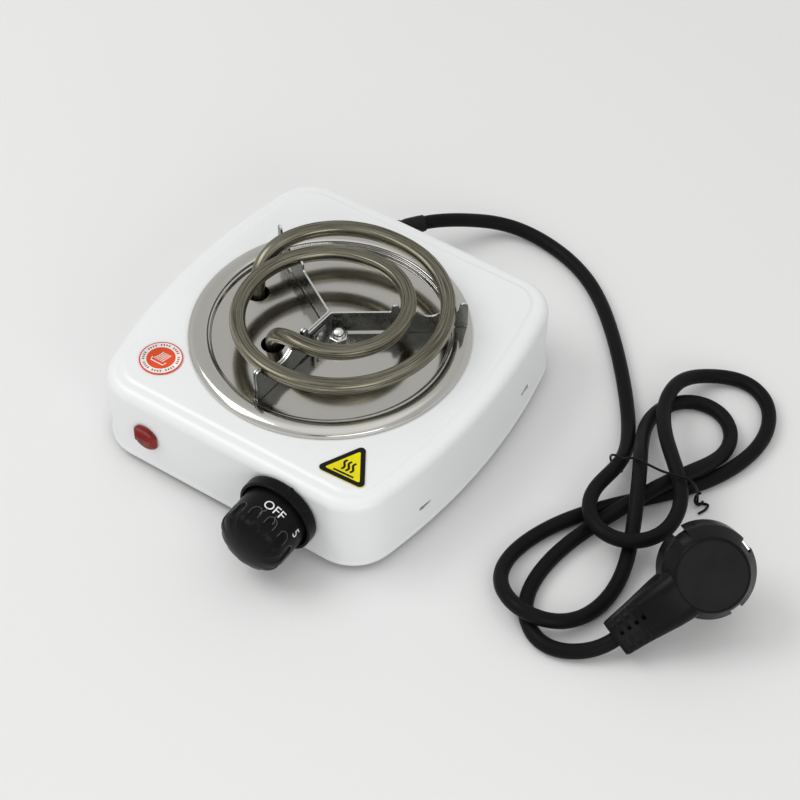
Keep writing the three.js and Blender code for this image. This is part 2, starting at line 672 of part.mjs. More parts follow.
const lensGroup = new THREE.Group();
lensGroup.position.set(LENS_X, FRONT, LENS_Z);
lensGroup.rotation.x = Math.PI / 2;
appliance.add(lensGroup);

function lens() {
  const profile = [[0, GAP], [LENS_RADIUS, GAP], [LENS_RADIUS, 1.1], [5.9, 2], [3.4, 2.6], [0, 2.7]];
  // The disc is flat at its left and right.
  const sides = [-1, 1].map((side) => box(-1, -9, 0, 1, 9, 4).translate(side * 7.2, 0, 0));
  const facet = box(-4.6, -2.4, 1, 4.6, 2.4, 3.3);
  return cut(join(turned(profile), rod(4.9, -9, 1), facet), rod(3.4, -10, 0.4), ...sides);
}
piece(lensGroup, "indicator_lens", lens(), redLens);
piece(
  lensGroup,
  "indicator_lamp",
  turned([[0, -11], [1.6, -11], [2.3, -9.5], [2.3, -2.5], [1.2, -0.8], [0, -0.4]], 12),
  glass,
);
piece(lensGroup, "indicator_clip", tube(5.1, 8, -SHEET - GAP - 0.7, -SHEET - GAP, 16), steel);

// ---------------------------------------------------------------- cord entry and wiring inside

const entry = new THREE.Group(); // +Z here points out of the back wall
entry.position.set(CORD_X, BACK, CORD_Z);
entry.rotation.x = -Math.PI / 2;
appliance.add(entry);

// The point and the direction at a distance along the bent strain relief's middle line.
function reliefAxis(distance) {
  const turn = distance / RELIEF_BEND;
  const point = new THREE.Vector3(RELIEF_BEND * (1 - Math.cos(turn)), 0, RELIEF_BEND * Math.sin(turn));
  return { point, turn };
}

function strainRelief() {
  const flange = turned(
    [
      [0, -5], [7.4, -5], [7.4, -SHEET - GAP], [5.3, -SHEET - GAP], [5.3, GAP], [8, GAP], [8, 1.8], [7, 3],
      [0, 3],
    ],
    16,
  );
  const stations = [[5.5, 1.5]];
  for (let i = 0; i < 3; i++) {
    const start = 3.5 + i * 4.3;
    const radius = 6.6 - i * 0.5;
    stations.push([radius, start], [radius - 0.3, start + 2.7]);
    stations.push([radius - 1, start + 2.9], [radius - 1, start + 4.1]);
  }
  stations.push([4.5, 18.5], [4, RELIEF_LENGTH]);
  const rings = stations.map(([radius, distance]) => {
    const { point, turn } = reliefAxis(distance);
    const axis = new THREE.Vector3(0, 1, 0);
    const flat = at(circle(radius, 0, 0, 12), 0);
    return flat.map((p) => p.applyAxisAngle(axis, turn).add(point));
  });
  return join(flange, loft(rings, false));
}
piece(entry, "strain_relief", strainRelief(), blackRubber);

const WIRE_START = 46.4;
const TAIL_END = 48; // inner end of the lead's jacket, from the pan's axis
add(
  "cord_tail",
  alongY(rod(CORD_RADIUS, 0, BACK - 5 - GAP - TAIL_END, 12)).translate(CORD_X, TAIL_END, CORD_Z),
  blackRubber,
);

const clampHole = () =>
  alongY(rod(CORD_RADIUS + 0.25, -6, 6, 16)).translate(CLAMP.x, CLAMP.y, CORD_Z);
const clampScrewHoles = () =>
  [-1, 1].map((side) => rod(1.8, -2, 30, 12).translate(CLAMP.x + side * CLAMP.spread, CLAMP.y, 0));
function clampBlock(z0, z1) {
  const block = box(CLAMP.x - 12, CLAMP.y - 4, z0, CLAMP.x + 12, CLAMP.y + 4, z1);
  return cut(block, clampHole(), ...clampScrewHoles());
}
add("cord_clamp_base", clampBlock(BASE_Z + SHEET + GAP, CORD_Z - 0.4), blackPlastic);
add("cord_clamp_bar", clampBlock(CORD_Z + 0.4, CORD_Z + 5), blackPlastic);

// A screw that comes up through the base plate and holds what is under the height.
const panScrew = (height, radius) =>
  turned(
    [
      [0, BASE_Z - 0.6], [1.4, BASE_Z - 0.6], [1.4, height + GAP], [radius, height + GAP],
      [radius - 0.2, height + 1.8], [0, height + 2.4],
    ],
    12,
  );
[-1, 1].forEach((side) => {
  const screw = panScrew(CORD_Z + 5, 2.8).translate(CLAMP.x + side * CLAMP.spread, CLAMP.y, 0);
  add(`cord_clamp_screw_${side < 0 ? "left" : "right"}`, screw, steel);
});

const MAINS_WIRE = 1.2;
const LAMP_WIRE = 0.8;
function wire(name, radius, material, ...points) {
  add(name, sweep(points.map((p) => new THREE.Vector3(...p)), radius, 6, 16), material);
}
wire(
  "live_wire", MAINS_WIRE, brownWire,
  [CORD_X + 1.7, WIRE_START, CORD_Z + 1], [-15, 38, 12], [12, 18, 6], [38, -10, 6], [47, -38, 9],
  [46, -54, 12],
);
wire(
  "heater_wire", MAINS_WIRE, whiteSleeve,
  [20, -55.5, 12], [16, -46, 9], [4, -34, 6], [-9, -24, 5], [-15, -20.4, 6.4],
  [COIL_INNER.x, COIL_INNER.y, 11.2],
);
wire(
  "neutral_wire", MAINS_WIRE, blueWire,
  [CORD_X - 1.7, WIRE_START, CORD_Z + 1], [-31, 38, 12], [-38, 24, 8], [-41.5, 10, 6],
  [COIL_OUTER.x, COIL_OUTER.y, 10.8],
);
wire(
  "earth_wire", MAINS_WIRE, earthWire,
  [CORD_X, WIRE_START, CORD_Z - 1.9], [-31, 41, 8.6], [-42, 35.5, 6], [EARTH.x + 5.6, EARTH.y + 1.2, 4.2],
);
wire(
  "lamp_wire_live", LAMP_WIRE, brownWire,
  [LENS_X + 1, FRONT + 12, LENS_Z], [-37, -60, 14], [-20, -54, 10], [-2, -53, 10], [7, -57, 13],
);
wire(
  "lamp_wire_neutral", LAMP_WIRE, blueWire,
  [LENS_X - 1, FRONT + 12, LENS_Z], [-47, -56, 14], [-54, -36, 9], [-54, -12, 8], [-48, 1, 10],
);

// Earth tag: a ring under a screw, with a barrel for its wire.
const tagZ = BASE_Z + SHEET + GAP;
const tag = join(rod(4, tagZ, tagZ + 0.8), box(0, -2, tagZ, 8, 2, tagZ + 0.8));
add("earth_tag", cut(tag, rod(1.9, 0, 8)).translate(EARTH.x, EARTH.y, 0), brass);
add("earth_screw", panScrew(tagZ + 0.8, 3).translate(EARTH.x, EARTH.y, 0), steel);

// ---------------------------------------------------------------- labels on the raised top

const LABEL = 0.3; // thickness, and the height of its underside above the top
const TRIANGLE = { x: 51, y: -59.5, side: 24.5, corner: 2, turn: 93 };

function triangleLabel() {
  const reach = TRIANGLE.side / Math.sqrt(3) - 2 * TRIANGLE.corner;
  const points = [];
  for (let k = 0; k < 3; k++) {
    const heading = TRIANGLE.turn + 120 * k;
    const centre = new THREE.Vector2(reach, 0).rotateAround(new THREE.Vector2(), radians(heading));
    for (let i = -2; i <= 2; i++) {
      const t = radians(heading + i * 30);
      const corner = new THREE.Vector2(Math.cos(t), Math.sin(t)).multiplyScalar(TRIANGLE.corner);
      points.push(centre.clone().add(corner));
    }
  }
  return plate(points, [], HEIGHT + LABEL, HEIGHT + 2 * LABEL).translate(TRIANGLE.x, TRIANGLE.y, 0);
}
add("hot_surface_label", triangleLabel(), yellowFilm);

const CAUTION = { x: -51.6, y: -54.2, radius: 9.6 };
const cautionDisc = rod(CAUTION.radius, HEIGHT + LABEL, HEIGHT + 2 * LABEL, 28);
add("caution_label", cautionDisc.translate(CAUTION.x, CAUTION.y, 0), orangeFilm);

// ---------------------------------------------------------------- free cord, in the group's own frame

// Control points of a smooth curve from the strain relief to the plug's neck. The lead lies on the
// surface, its loops are gathered by a tie near [140, 47], and it passes over itself in long low humps.
const cordRoute = [
  [-18.7, 117.7, 18], [-13.8, 124, 17.6], [-5, 138, 11.5], [9, 151.5, 5.5], [33, 152.5, 3.3],
  [61.5, 142, 3.3], [88, 116, 3.3], [109, 90, 3.3], [123.5, 68.5, 4.5], [133, 46.5, 10.5],
  [127.5, 25, 11.5], [137.5, 7, 13], [156, 4, 14.4], [169.5, 19, 13.4], [167, 40, 17.4], [148.5, 57, 19],
  [132.5, 77.5, 14.5], [127, 101, 12.5], [135, 118.5, 4.5], [152, 127.5, 3.3], [169, 118.5, 3.3],
  [176.5, 96.5, 3.3], [169.5, 69, 3.3], [155, 48, 3.3], [138, 30, 3.3], [122, 6.5, 3.3],
  [114.5, -18, 3.3], [119.5, -37, 7], [136, -48, 12], [153, -42.5, 7.5], [162, -25.5, 3.4],
  [162, -1.5, 3.3], [153, 20.5, 11.3], [142.5, 42.5, 20.2], [130.5, 65.5, 9], [125, 85.5, 3.3],
  [133, 101, 3.3], [149, 104.5, 3.3], [162, 95, 3.3], [165.6, 78.2, 5.2], [160.5, 59.5, 12],
  [150, 40.5, 11.2], [140.5, 21.5, 5.4], [132.5, 1.5, 3.3], [130, -21, 3.3], [134, -39.5, 3.3],
  [147.5, -52, 3.3], [163, -50, 3.3], [173.6, -40.8, 5.7], [176.5, -35.4, 8.5],
];

// The plug's own frame: +X along its neck, +Y along its two pins, +Z out of its back.
const plugGroup = new THREE.Group();
plugGroup.position.set(191.2, 9.2, 19.9);
plugGroup.rotation.order = "ZYX";
plugGroup.rotation.set(radians(-41.4), radians(24.7), radians(-118));
group.add(plugGroup);
plugGroup.updateMatrixWorld(true);

const NECK_HEIGHT = 12; // the lead's middle line above the plug's face
// A cubic curve that starts and ends on the first and last of its control points.
function smoothCurve(points) {
  const spans = points.length - 3;
  const knots = [0, 0, 0, ...Array.from({ length: spans + 1 }, (_, i) => i / spans), 1, 1, 1];
  return new NURBSCurve(3, knots, points.map((p) => new THREE.Vector4(p.x, p.y, p.z, 1)));
}

const lead = smoothCurve(cordRoute.map((p) => new THREE.Vector3(...p)));
piece(group, "power_cord", sweep(lead, CORD_RADIUS, 8, 84), blackRubber);

// Plastic-coated wire that starts under the gathered strands, passes round them and ends in a bent tail.
const TIE_RADIUS = 0.55;
const tieRoute = [
  [132.5, 46.5, 4.8], [127, 47.2, 5.8], [125.8, 46.8, 10.5], [128.3, 45.6, 14.2], [133, 44.8, 15.6],
  [137.2, 44.4, 19.3], [141.6, 43.6, 21.4], [147, 42.4, 22.6], [153, 42.4, 22.8], [158.6, 43.4, 22.9],
  [163.6, 45.6, 21.6], [166.3, 48.2, 16.5], [167, 50.6, 9.5], [166.9, 52, 4], [167.2, 52, 1.4],
  [169, 53.4, 0.9], [171.2, 54, 0.9], [171.6, 51.5, 0.9], [170.2, 47.4, 0.9],
];
const tie = sweep(tieRoute.map((p) => new THREE.Vector3(...p)), TIE_RADIUS, 5, 44);
piece(group, "twist_tie", tie, blackPlastic);

// A rectangle with round corners across the neck, at a distance along it and from z0 to z1.
function neckRing(x, width, z0, z1) {
  const corner = Math.min(width, z1 - z0) * 0.3;
  const points = [];
  [[1, 1], [-1, 1], [-1, -1], [1, -1]].forEach(([sy, sz], k) => {
    for (let i = 0; i <= 3; i++) {
      const t = radians(k * 90 + i * 30);
      points.push(new THREE.Vector3(
        x,
        sy * (width / 2 - corner) + corner * Math.cos(t),
        (z0 + z1) / 2 + sz * ((z1 - z0) / 2 - corner) + corner * Math.sin(t),
      ));
    }
  });
  return points;
}

const pinPlaces = [-PIN_SPACING / 2, PIN_SPACING / 2];
function plugBody() {
  const disc = turned(
    [
      [0, 0], [PLUG_RADIUS - 1, 0], [PLUG_RADIUS, 1], [PLUG_RADIUS, PLUG_THICKNESS - 9],
      [PLUG_RADIUS - 4.5, PLUG_THICKNESS], [0, PLUG_THICKNESS],
    ],
    32,
  );
  const neck = loft(
    [
      neckRing(4, 23, 1, 23.9),
      neckRing(17, 22, 2.5, 23.6),
      neckRing(27, 20, 4, 21.4),
      neckRing(36, 17.8, 5.2, 19.2),
      neckRing(PLUG_NECK, 15.8, 5.8, 18.2),
    ],
    false,
  );
  const grooves = [];
  for (let i = 0; i < 4; i++) {
    const x = PLUG_NECK - 3.4 - i * 3.6;
    grooves.push(box(x - 0.8, -12, 0, x + 0.8, -1, NECK_HEIGHT - 3.5));
    grooves.push(box(x - 0.8, -12, NECK_HEIGHT + 3.5, x + 0.8, -1, 24));
    grooves.push(box(x + 1, 1, 0, x + 2.6, 12, NECK_HEIGHT - 3.5));
    grooves.push(box(x + 1, 1, NECK_HEIGHT + 3.5, x + 2.6, 12, 24));
  }
  const through = PLUG_THICKNESS + 1;
  const guides = [-1, 1].map((side) => box(-2.5, -2.5, -1, 2.5, 2.5, through).translate(0, side * 19.5, 0));
  const clipSeats = [box(-21, -2.8, -1, -17.4, 2.8, through), box(17.6, -2.8, -1, 21, 2.8, 5)];
  const pinHoles = pinPlaces.map((y) => rod(PIN_RADIUS + GAP, -1, 6).translate(0, y, 0));
  return cut(join(disc, neck), ...grooves, ...guides, ...clipSeats, ...pinHoles);
}
piece(plugGroup, "plug_body", plugBody(), blackPlastic);

pinPlaces.forEach((y) => {
  const profile = [
    [0, -PIN_LENGTH], [1.6, -PIN_LENGTH], [PIN_RADIUS, -PIN_LENGTH + 1.2], [PIN_RADIUS, 5.7], [0, 5.7],
  ];
  const pin = turned(profile, 16).translate(0, y, 0);
  piece(plugGroup, `plug_pin_${y < 0 ? "left" : "right"}`, pin, polishedSteel);
});
piece(plugGroup, "plug_earth_clip_rear", box(-19, -2.5, 0.2, -17.7, 2.5, 15.6), polishedSteel);
piece(plugGroup, "plug_earth_clip_neck", box(17.9, -2.5, 0.2, 19.4, 2.5, 4.7), polishedSteel);

export default group;
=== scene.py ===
"""The looks of a single-coil electric hot plate with its mains lead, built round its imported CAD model.

Pieces are drawn in millimetres in the appliance's own frame and placed in metres by a matrix, so that they
lie where the CAD pieces are. That frame has its origin on the drip pan's axis, level with the housing's lower
edge, with +Z up and the knob side at -Y.
"""

import json
import math

import bmesh
import bpy
import numpy as np
from mathutils import Matrix, Vector


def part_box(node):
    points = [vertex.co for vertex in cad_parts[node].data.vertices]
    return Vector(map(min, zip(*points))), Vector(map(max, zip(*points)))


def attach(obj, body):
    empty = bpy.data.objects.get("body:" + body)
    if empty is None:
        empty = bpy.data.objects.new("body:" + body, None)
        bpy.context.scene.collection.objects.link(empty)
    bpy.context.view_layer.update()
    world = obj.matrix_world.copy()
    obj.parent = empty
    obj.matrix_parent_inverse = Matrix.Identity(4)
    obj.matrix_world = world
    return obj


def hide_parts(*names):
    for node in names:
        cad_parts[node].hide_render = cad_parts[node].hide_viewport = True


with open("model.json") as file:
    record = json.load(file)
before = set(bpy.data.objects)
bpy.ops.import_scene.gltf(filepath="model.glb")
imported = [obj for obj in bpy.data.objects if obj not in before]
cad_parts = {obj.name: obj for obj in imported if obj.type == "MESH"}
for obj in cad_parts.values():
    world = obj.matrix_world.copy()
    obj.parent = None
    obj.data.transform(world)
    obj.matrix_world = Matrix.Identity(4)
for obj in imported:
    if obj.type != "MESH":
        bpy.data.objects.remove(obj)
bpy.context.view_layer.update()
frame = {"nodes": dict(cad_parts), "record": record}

# ---- sizes, in millimetres

MM = 0.001
TAU = 2 * math.pi

HEM = 0.5
GAP = 0.3
SHEET = 1.0
HEIGHT = 39.0
SIDE_BULGE = 11.0
CORNER = 20.5
TOP_EDGE = 5.0
SHOULDER = 7.0
RISE = 0.8
PAN_HOLE = 57.0
PAN_RIM = 62.5
PAN_FLOOR = 39.3
PAN_FLOOR_EDGE = 52.2
PAN_TOP = 42.6
TUBE = 3.5
COIL_LEVEL = 54.0
COIL_INNER = (-16.5, -20.0)
COIL_OUTER = (-40.8, 1.5)
COIL_SEALED_END = 25.0
STRIP = 0.9
STRIP_TOP = 52.0
STRIP_BOTTOM = 40.7
STRIP_LOW = PAN_FLOOR + GAP
ARM_RIGHT = 35.0
ARM_LEFT = 149.0
ARM_FRONT = -93.0
BEZEL_RADIUS = 18.0
BEZEL_DEPTH = 6.6
KNOB_RADIUS = 15.4
KNOB_GRIP = 14.4
KNOB_DOME = 8.0
LENS_RADIUS = 6.7
CORD_RADIUS = 3.3
RELIEF_LENGTH = 26.0
RELIEF_BEND = 40.0
PLUG_RADIUS = 19.8
PLUG_THICKNESS = 24.0
PLUG_NECK = 46.5
NECK_HEIGHT = 12.0
PIN_RADIUS = 2.4
PIN_LENGTH = 19.0
PIN_SPACING = 19.0
SIDE_SLOT = {"y": 40.0, "z": 12.5}
INDEX_HEADING = 20.0  # the bezel's index bump, degrees clockwise from the top
LABEL = 0.3
CLIP_SHEET = 0.8
WASHER = 0.8
WASHER_Z = PAN_FLOOR + GAP + CLIP_SHEET + GAP
NUT_Z = WASHER_Z + WASHER + GAP

# ---- places, from the frame


def middle(node):
    low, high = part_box(node)
    return (low + high) / 2


housing_low, housing_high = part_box("top_housing")
pan_axis = middle("drip_pan")
ORIGIN = Vector((pan_axis.x, pan_axis.y, housing_low.z))
APPLIANCE = Matrix.Translation(ORIGIN) @ Matrix.Scale(MM, 4)
WORLD = Matrix.Scale(MM, 4)


def middle_in_appliance(node):
    """The middle of a node's box, in millimetres of the appliance's own frame."""
    return (middle(node) - ORIGIN) / MM


WIDTH = (housing_high.x - housing_low.x) / MM - 2 * HEM
DEPTH = (housing_high.y - housing_low.y) / MM - 2 * HEM
FRONT = -DEPTH / 2
BACK = DEPTH / 2
FOOT = ORIGIN.z / MM

hub_place = middle_in_appliance("hub_nut").xy
knob_axis = middle_in_appliance("thermostat_shaft")
lens_axis = middle_in_appliance("indicator_lens")
tail_axis = middle_in_appliance("cord_tail")
OUT_OF_FRONT = Matrix.Rotation(math.pi / 2, 4, "X")  # turns +Z to -Y and +Y to +Z
OUT_OF_BACK = Matrix.Rotation(-math.pi / 2, 4, "X")


def on_wall(axis, wall, turn):
    return APPLIANCE @ Matrix.Translation((axis.x, wall, axis.z)) @ turn


KNOB_FRAME = on_wall(knob_axis, FRONT, OUT_OF_FRONT)
LENS_FRAME = on_wall(lens_axis, FRONT, OUT_OF_FRONT)
ENTRY_FRAME = on_wall(tail_axis, BACK, OUT_OF_BACK)

# The plug's own frame: +X along its neck, +Y from one pin to the other, +Z out of its back.
PLUG_PLACE = (191.2, 9.2, 19.9)
PLUG_TURN = (-41.4, 24.7, -118.0)
PLUG_FRAME = (
    WORLD
    @ Matrix.Translation(PLUG_PLACE)
    @ Matrix.Rotation(math.radians(PLUG_TURN[2]), 4, "Z")
    @ Matrix.Rotation(math.radians(PLUG_TURN[1]), 4, "Y")
    @ Matrix.Rotation(math.radians(PLUG_TURN[0]), 4, "X")
)

# The lead's control points in millimetres of the frame, from the strain relief to the plug's neck.
CORD_ROUTE = [
    (-18.7, 117.7, 18), (-13.8, 124, 17.6), (-5, 138, 11.5), (9, 151.5, 5.5), (33, 152.5, 3.3),
    (61.5, 142, 3.3), (88, 116, 3.3), (109, 90, 3.3), (123.5, 68.5, 4.5), (133, 46.5, 10.5),
    (127.5, 25, 11.5), (137.5, 7, 13), (156, 4, 14.4), (169.5, 19, 13.4), (167, 40, 17.4),
    (148.5, 57, 19), (132.5, 77.5, 14.5), (127, 101, 12.5), (135, 118.5, 4.5), (152, 127.5, 3.3),
    (169, 118.5, 3.3), (176.5, 96.5, 3.3), (169.5, 69, 3.3), (155, 48, 3.3), (138, 30, 3.3),
    (122, 6.5, 3.3), (114.5, -18, 3.3), (119.5, -37, 7), (136, -48, 12), (153, -42.5, 7.5),
    (162, -25.5, 3.4), (162, -1.5, 3.3), (153, 20.5, 11.3), (142.5, 42.5, 20.2), (130.5, 65.5, 9),
    (125, 85.5, 3.3), (133, 101, 3.3), (149, 104.5, 3.3), (162, 95, 3.3), (165.6, 78.2, 5.2),
    (160.5, 59.5, 12), (150, 40.5, 11.2), (140.5, 21.5, 5.4), (132.5, 1.5, 3.3), (130, -21, 3.3),
    (134, -39.5, 3.3), (147.5, -52, 3.3), (163, -50, 3.3), (173.6, -40.8, 5.7), (176.5, -35.4, 8.5),
]
TIE_RADIUS = 0.55

# ---- objects and meshes


def add_object(name, data):
    made = bpy.data.objects.new(name, data)
    bpy.context.scene.collection.objects.link(made)
    return made


def mesh_of(bm, name):
    """The drawing as a mesh. The drawing itself is let go."""
    mesh = bpy.data.meshes.new(name)
    bm.to_mesh(mesh)
    bm.free()
    return mesh


# ---- camera and light

CAMERA_AZIMUTH = math.radians(33.76)
CAMERA_ELEVATION = math.radians(47.95)
CAMERA_ROLL = math.radians(0.30)
CAMERA_DISTANCE = 0.9972
CAMERA_AIM = Vector((0.03065, -0.02678))  # to the right of the target, and above it, in the picture's plane
FOCAL = 102.06


def add_camera():
    a, e = CAMERA_AZIMUTH, CAMERA_ELEVATION
    back = Vector((math.sin(a) * math.cos(e), -math.cos(a) * math.cos(e), math.sin(e)))
    right = Vector((math.cos(a), math.sin(a), 0))
    up = back.cross(right)
    target = Vector((0, ORIGIN.y, ORIGIN.z + 0.035))
    place = target + CAMERA_AIM.x * right + CAMERA_AIM.y * up + CAMERA_DISTANCE * back
    side = right * math.cos(CAMERA_ROLL) + up * math.sin(CAMERA_ROLL)
    top = up * math.cos(CAMERA_ROLL) - right * math.sin(CAMERA_ROLL)
    data = bpy.data.cameras.new("camera")
    data.lens = FOCAL
    data.sensor_width = 36
    camera = add_object("camera", data)
    axes = Matrix((side, top, back)).transposed()
    camera.matrix_world = Matrix.Translation(place) @ axes.to_4x4()
    bpy.context.scene.camera = camera


def add_light(name, place, target, width, height, power):
    data = bpy.data.lights.new(name, "AREA")
    data.shape = "RECTANGLE"
    data.size = width
    data.size_y = height
    data.energy = power
    light = add_object(name, data)
    light.location = place
    light.rotation_euler = (Vector(place) - Vector(target)).to_track_quat("Z", "Y").to_euler()


def add_world():
    world = bpy.data.worlds.new("studio")
    world.use_nodes = True
    tree = world.node_tree
    tree.nodes.clear()
    place = tree.nodes.new("ShaderNodeTexCoord")
    split = tree.nodes.new("ShaderNodeSeparateXYZ")
    ramp = tree.nodes.new("ShaderNodeValToRGB")
    stops = ramp.color_ramp.elements
    stops[0].position, stops[0].color = 0.0, (0.62, 0.62, 0.61, 1)
    stops[1].position, stops[1].color = 1.0, (1, 1, 1, 1)
    for position, grey in ((0.45, 0.68), (0.7, 0.6), (0.82, 0.62), (0.9, 1.0)):
        stops.new(position).color = (grey, grey, grey, 1)
    towards = tree.nodes.new("ShaderNodeVectorMath")
    towards.operation = "DOT_PRODUCT"
    towards.inputs[1].default_value = (0.47, -0.70, 0.53)
    shade = tree.nodes.new("ShaderNodeValToRGB")
    around, patch = shade.color_ramp.elements
    around.position, around.color = 0.95, (1, 1, 1, 1)
    patch.position, patch.color = 0.975, (0.04, 0.04, 0.04, 1)
    both = tree.nodes.new("ShaderNodeMixRGB")
    both.blend_type = "MULTIPLY"
    both.inputs["Fac"].default_value = 1.0
    back = tree.nodes.new("ShaderNodeBackground")
    back.inputs["Strength"].default_value = 0.98
    out = tree.nodes.new("ShaderNodeOutputWorld")
    tree.links.new(place.outputs["Generated"], split.inputs[0])
    tree.links.new(place.outputs["Generated"], towards.inputs[0])
    tree.links.new(split.outputs["Z"], ramp.inputs[0])
    tree.links.new(towards.outputs["Value"], shade.inputs[0])
    tree.links.new(ramp.outputs[0], both.inputs["Color1"])
    tree.links.new(shade.outputs[0], both.inputs["Color2"])
    tree.links.new(both.outputs[0], back.inputs["Color"])
    tree.links.new(back.outputs[0], out.inputs[0])
    bpy.context.scene.world = world


add_camera()
add_world()
add_light("key", (-0.75, -0.35, 1.2), (0.05, 0.02, 0.03), 0.9, 0.7, 6)
add_light("right_fill", (0.9, -0.7, 0.6), (0, 0, 0.03), 0.8, 0.5, 3.2)
bpy.context.scene.view_settings.view_transform = "Standard"

# ---- materials


class Nodes:
    """A material's node tree, with short calls for the nodes that the finishes are made of."""

    def __init__(self, name):
        self.material = bpy.data.materials.new(name)
        self.material.use_nodes = True
        self.tree = self.material.node_tree
        self.tree.nodes.clear()
        self.shader = self.tree.nodes.new("ShaderNodeBsdfPrincipled")
        out = self.tree.nodes.new("ShaderNodeOutputMaterial")
        self.link(self.shader.outputs[0], out.inputs[0])
        self.normal = None

    def link(self, source, target):
        self.tree.links.new(source, target)

    def give(self, socket, value):
        if isinstance(value, bpy.types.NodeSocket):
            self.link(value, socket)
        else:
            socket.default_value = value

    def node(self, kind, settings=None, **inputs):
        made = self.tree.nodes.new("ShaderNode" + kind)
        for key, value in (settings or {}).items():
            setattr(made, key, value)
        for key, value in inputs.items():
            self.give(made.inputs[key.replace("_", " ")], value)
        return made

    def set(self, **inputs):
        for key, value in inputs.items():
            self.give(self.shader.inputs[key.replace("_", " ")], value)

    def place(self, stretch=(1, 1, 1), uv=False):
        """Coordinates on the object in metres, or along and round it, times a stretch."""
        source = self.node("TexCoord").outputs["UV" if uv else "Object"]
        return self.node("Mapping", Vector=source, Scale=stretch).outputs[0]

    def noise(self, where, scale, detail=3.0, roughness=0.55):
        made = self.node("TexNoise", Vector=where, Scale=scale, Detail=detail, Roughness=roughness)
        return made.outputs["Fac"]

    def ramp(self, value, low, high, at_low=0.3, at_high=0.7):
        made = self.node("ValToRGB", Fac=value)
        first, last = made.color_ramp.elements
        first.position, last.position = at_low, at_high
        first.color = (*low, 1) if isinstance(low, tuple) else (low, low, low, 1)
        last.color = (*high, 1) if isinstance(high, tuple) else (high, high, high, 1)
        return made.outputs["Color"]

    def multiply(self, amount, first, second):
        made = self.node("MixRGB", {"blend_type": "MULTIPLY"}, Fac=amount, Color1=first, Color2=second)
        return made.outputs[0]

    def bump(self, height, depth, strength=1.0):
        """Adds a relief of a depth in metres to the surface."""
        made = self.node("Bump", Height=height, Distance=depth, Strength=strength)
        if self.normal is not None:
            self.link(self.normal, made.inputs["Normal"])
        self.normal = made.outputs[0]
        self.link(self.normal, self.shader.inputs["Normal"])


def finish(name, dark, light, spots, low, high, patches, **more):
    """A material's nodes and coordinates, its colour varying in spots and its roughness in patches."""
    n = Nodes(name)
    where = n.place()
    colour = n.ramp(n.noise(where, spots), dark, light)
    n.set(Base_Color=colour, Roughness=n.ramp(n.noise(where, patches), low, high), **more)
    return n, where


def enamel():
    n, where = finish(
        "white_enamel", (0.835, 0.85, 0.85), (0.855, 0.868, 0.868), 22, 0.3, 0.36, 60,
        Coat_Weight=0.12, Coat_Roughness=0.16, Specular_IOR_Level=0.5,
    )
    n.bump(n.noise(where, 130, 1.0), 0.00001, 0.12)  # faint orange peel
    return n.material


def pan_steel():
    n, where = finish(
        "polished_pan_steel", (0.585, 0.575, 0.535), (0.62, 0.61, 0.57), 35, 0.11, 0.15, 90, Metallic=1.0
    )
    rings = {"wave_type": "RINGS", "rings_direction": "Z"}
    turning = n.node("TexWave", rings, Vector=where, Scale=420.0, Distortion=1.5, Detail=2.0)
    n.bump(turning.outputs["Fac"], 0.000004, 0.12)
    n.bump(n.noise(where, 40, 1.0), 0.0002, 0.025)
    return n.material


def plated_steel():
    n, _ = finish("plated_steel", (0.42, 0.42, 0.41), (0.56, 0.56, 0.54), 120, 0.24, 0.4, 300, Metallic=1.0)
    n.bump(n.noise(n.place((1, 1, 12)), 240, 2.0), 0.00003, 0.4)
    return n.material


def bright_steel():
    n, where = finish("bright_steel", (0.72, 0.72, 0.7), (0.8, 0.8, 0.78), 150, 0.1, 0.2, 300, Metallic=1.0)
    n.bump(n.noise(where, 500, 2.0), 0.00001, 0.3)
    return n.material


def strip_steel():
    """Sheared strip: dull grey steel, with a painted highlight on the surfaces that face up, mostly its top
    cut edges.
    """
    n = Nodes("strip_steel")
    where = n.place()
    normal = n.node("TexCoord").outputs["Normal"]
    upward = n.node("SeparateXYZ", Vector=normal).outputs["Z"]
    # Painted highlight: the colour turns bright where the surface faces up.
    edge = n.ramp(upward, 0.0, 1.0, 0.45, 0.8)
    dull = n.ramp(n.noise(where, 120), (0.15, 0.152, 0.15), (0.21, 0.212, 0.208))
    colour = n.node("MixRGB", Fac=edge, Color1=dull, Color2=(0.72, 0.72, 0.7, 1))
    n.set(Base_Color=colour.outputs[0], Metallic=1.0, Roughness=n.ramp(n.noise(where, 300), 0.2, 0.32))
    n.bump(n.noise(where, 240, 2.0), 0.00002, 0.3)
    return n.material


def coil_sheath():
    """Heat-stained steel: drawn streaks, and the colour darker over the top and bottom quarters of the tube,
    where its top is rolled flat.
    """
    n = Nodes("coil_sheath")
    along = n.place((1.1, 1, 1), uv=True)
    streak = n.noise(along, 34, 3.0, 0.6)
    speckle = n.noise(n.place(), 1100, 2.0)
    cloud = n.noise(n.place(), 45)
    around = n.node("SeparateXYZ", Vector=n.node("TexCoord").outputs["UV"]).outputs["Y"]
    fold = n.node("Math", {"operation": "PINGPONG"})
    n.give(fold.inputs[0], around)
    fold.inputs[1].default_value = 0.25
    line = n.ramp(fold.outputs[0], 1.0, 0.45, 0.09, 0.125)
    stain = n.ramp(streak, (0.11, 0.103, 0.076), (0.38, 0.365, 0.285), 0.36, 0.66)
    colour = n.multiply(0.7, stain, n.ramp(cloud, (0.82, 0.8, 0.75), (1, 1, 1)))
    n.set(Base_Color=n.multiply(0.35, colour, line), Metallic=0.95, Roughness=n.ramp(streak, 0.2, 0.34))
    n.bump(streak, 0.00007, 0.35)
    n.bump(speckle, 0.00003, 0.3)
    return n.material


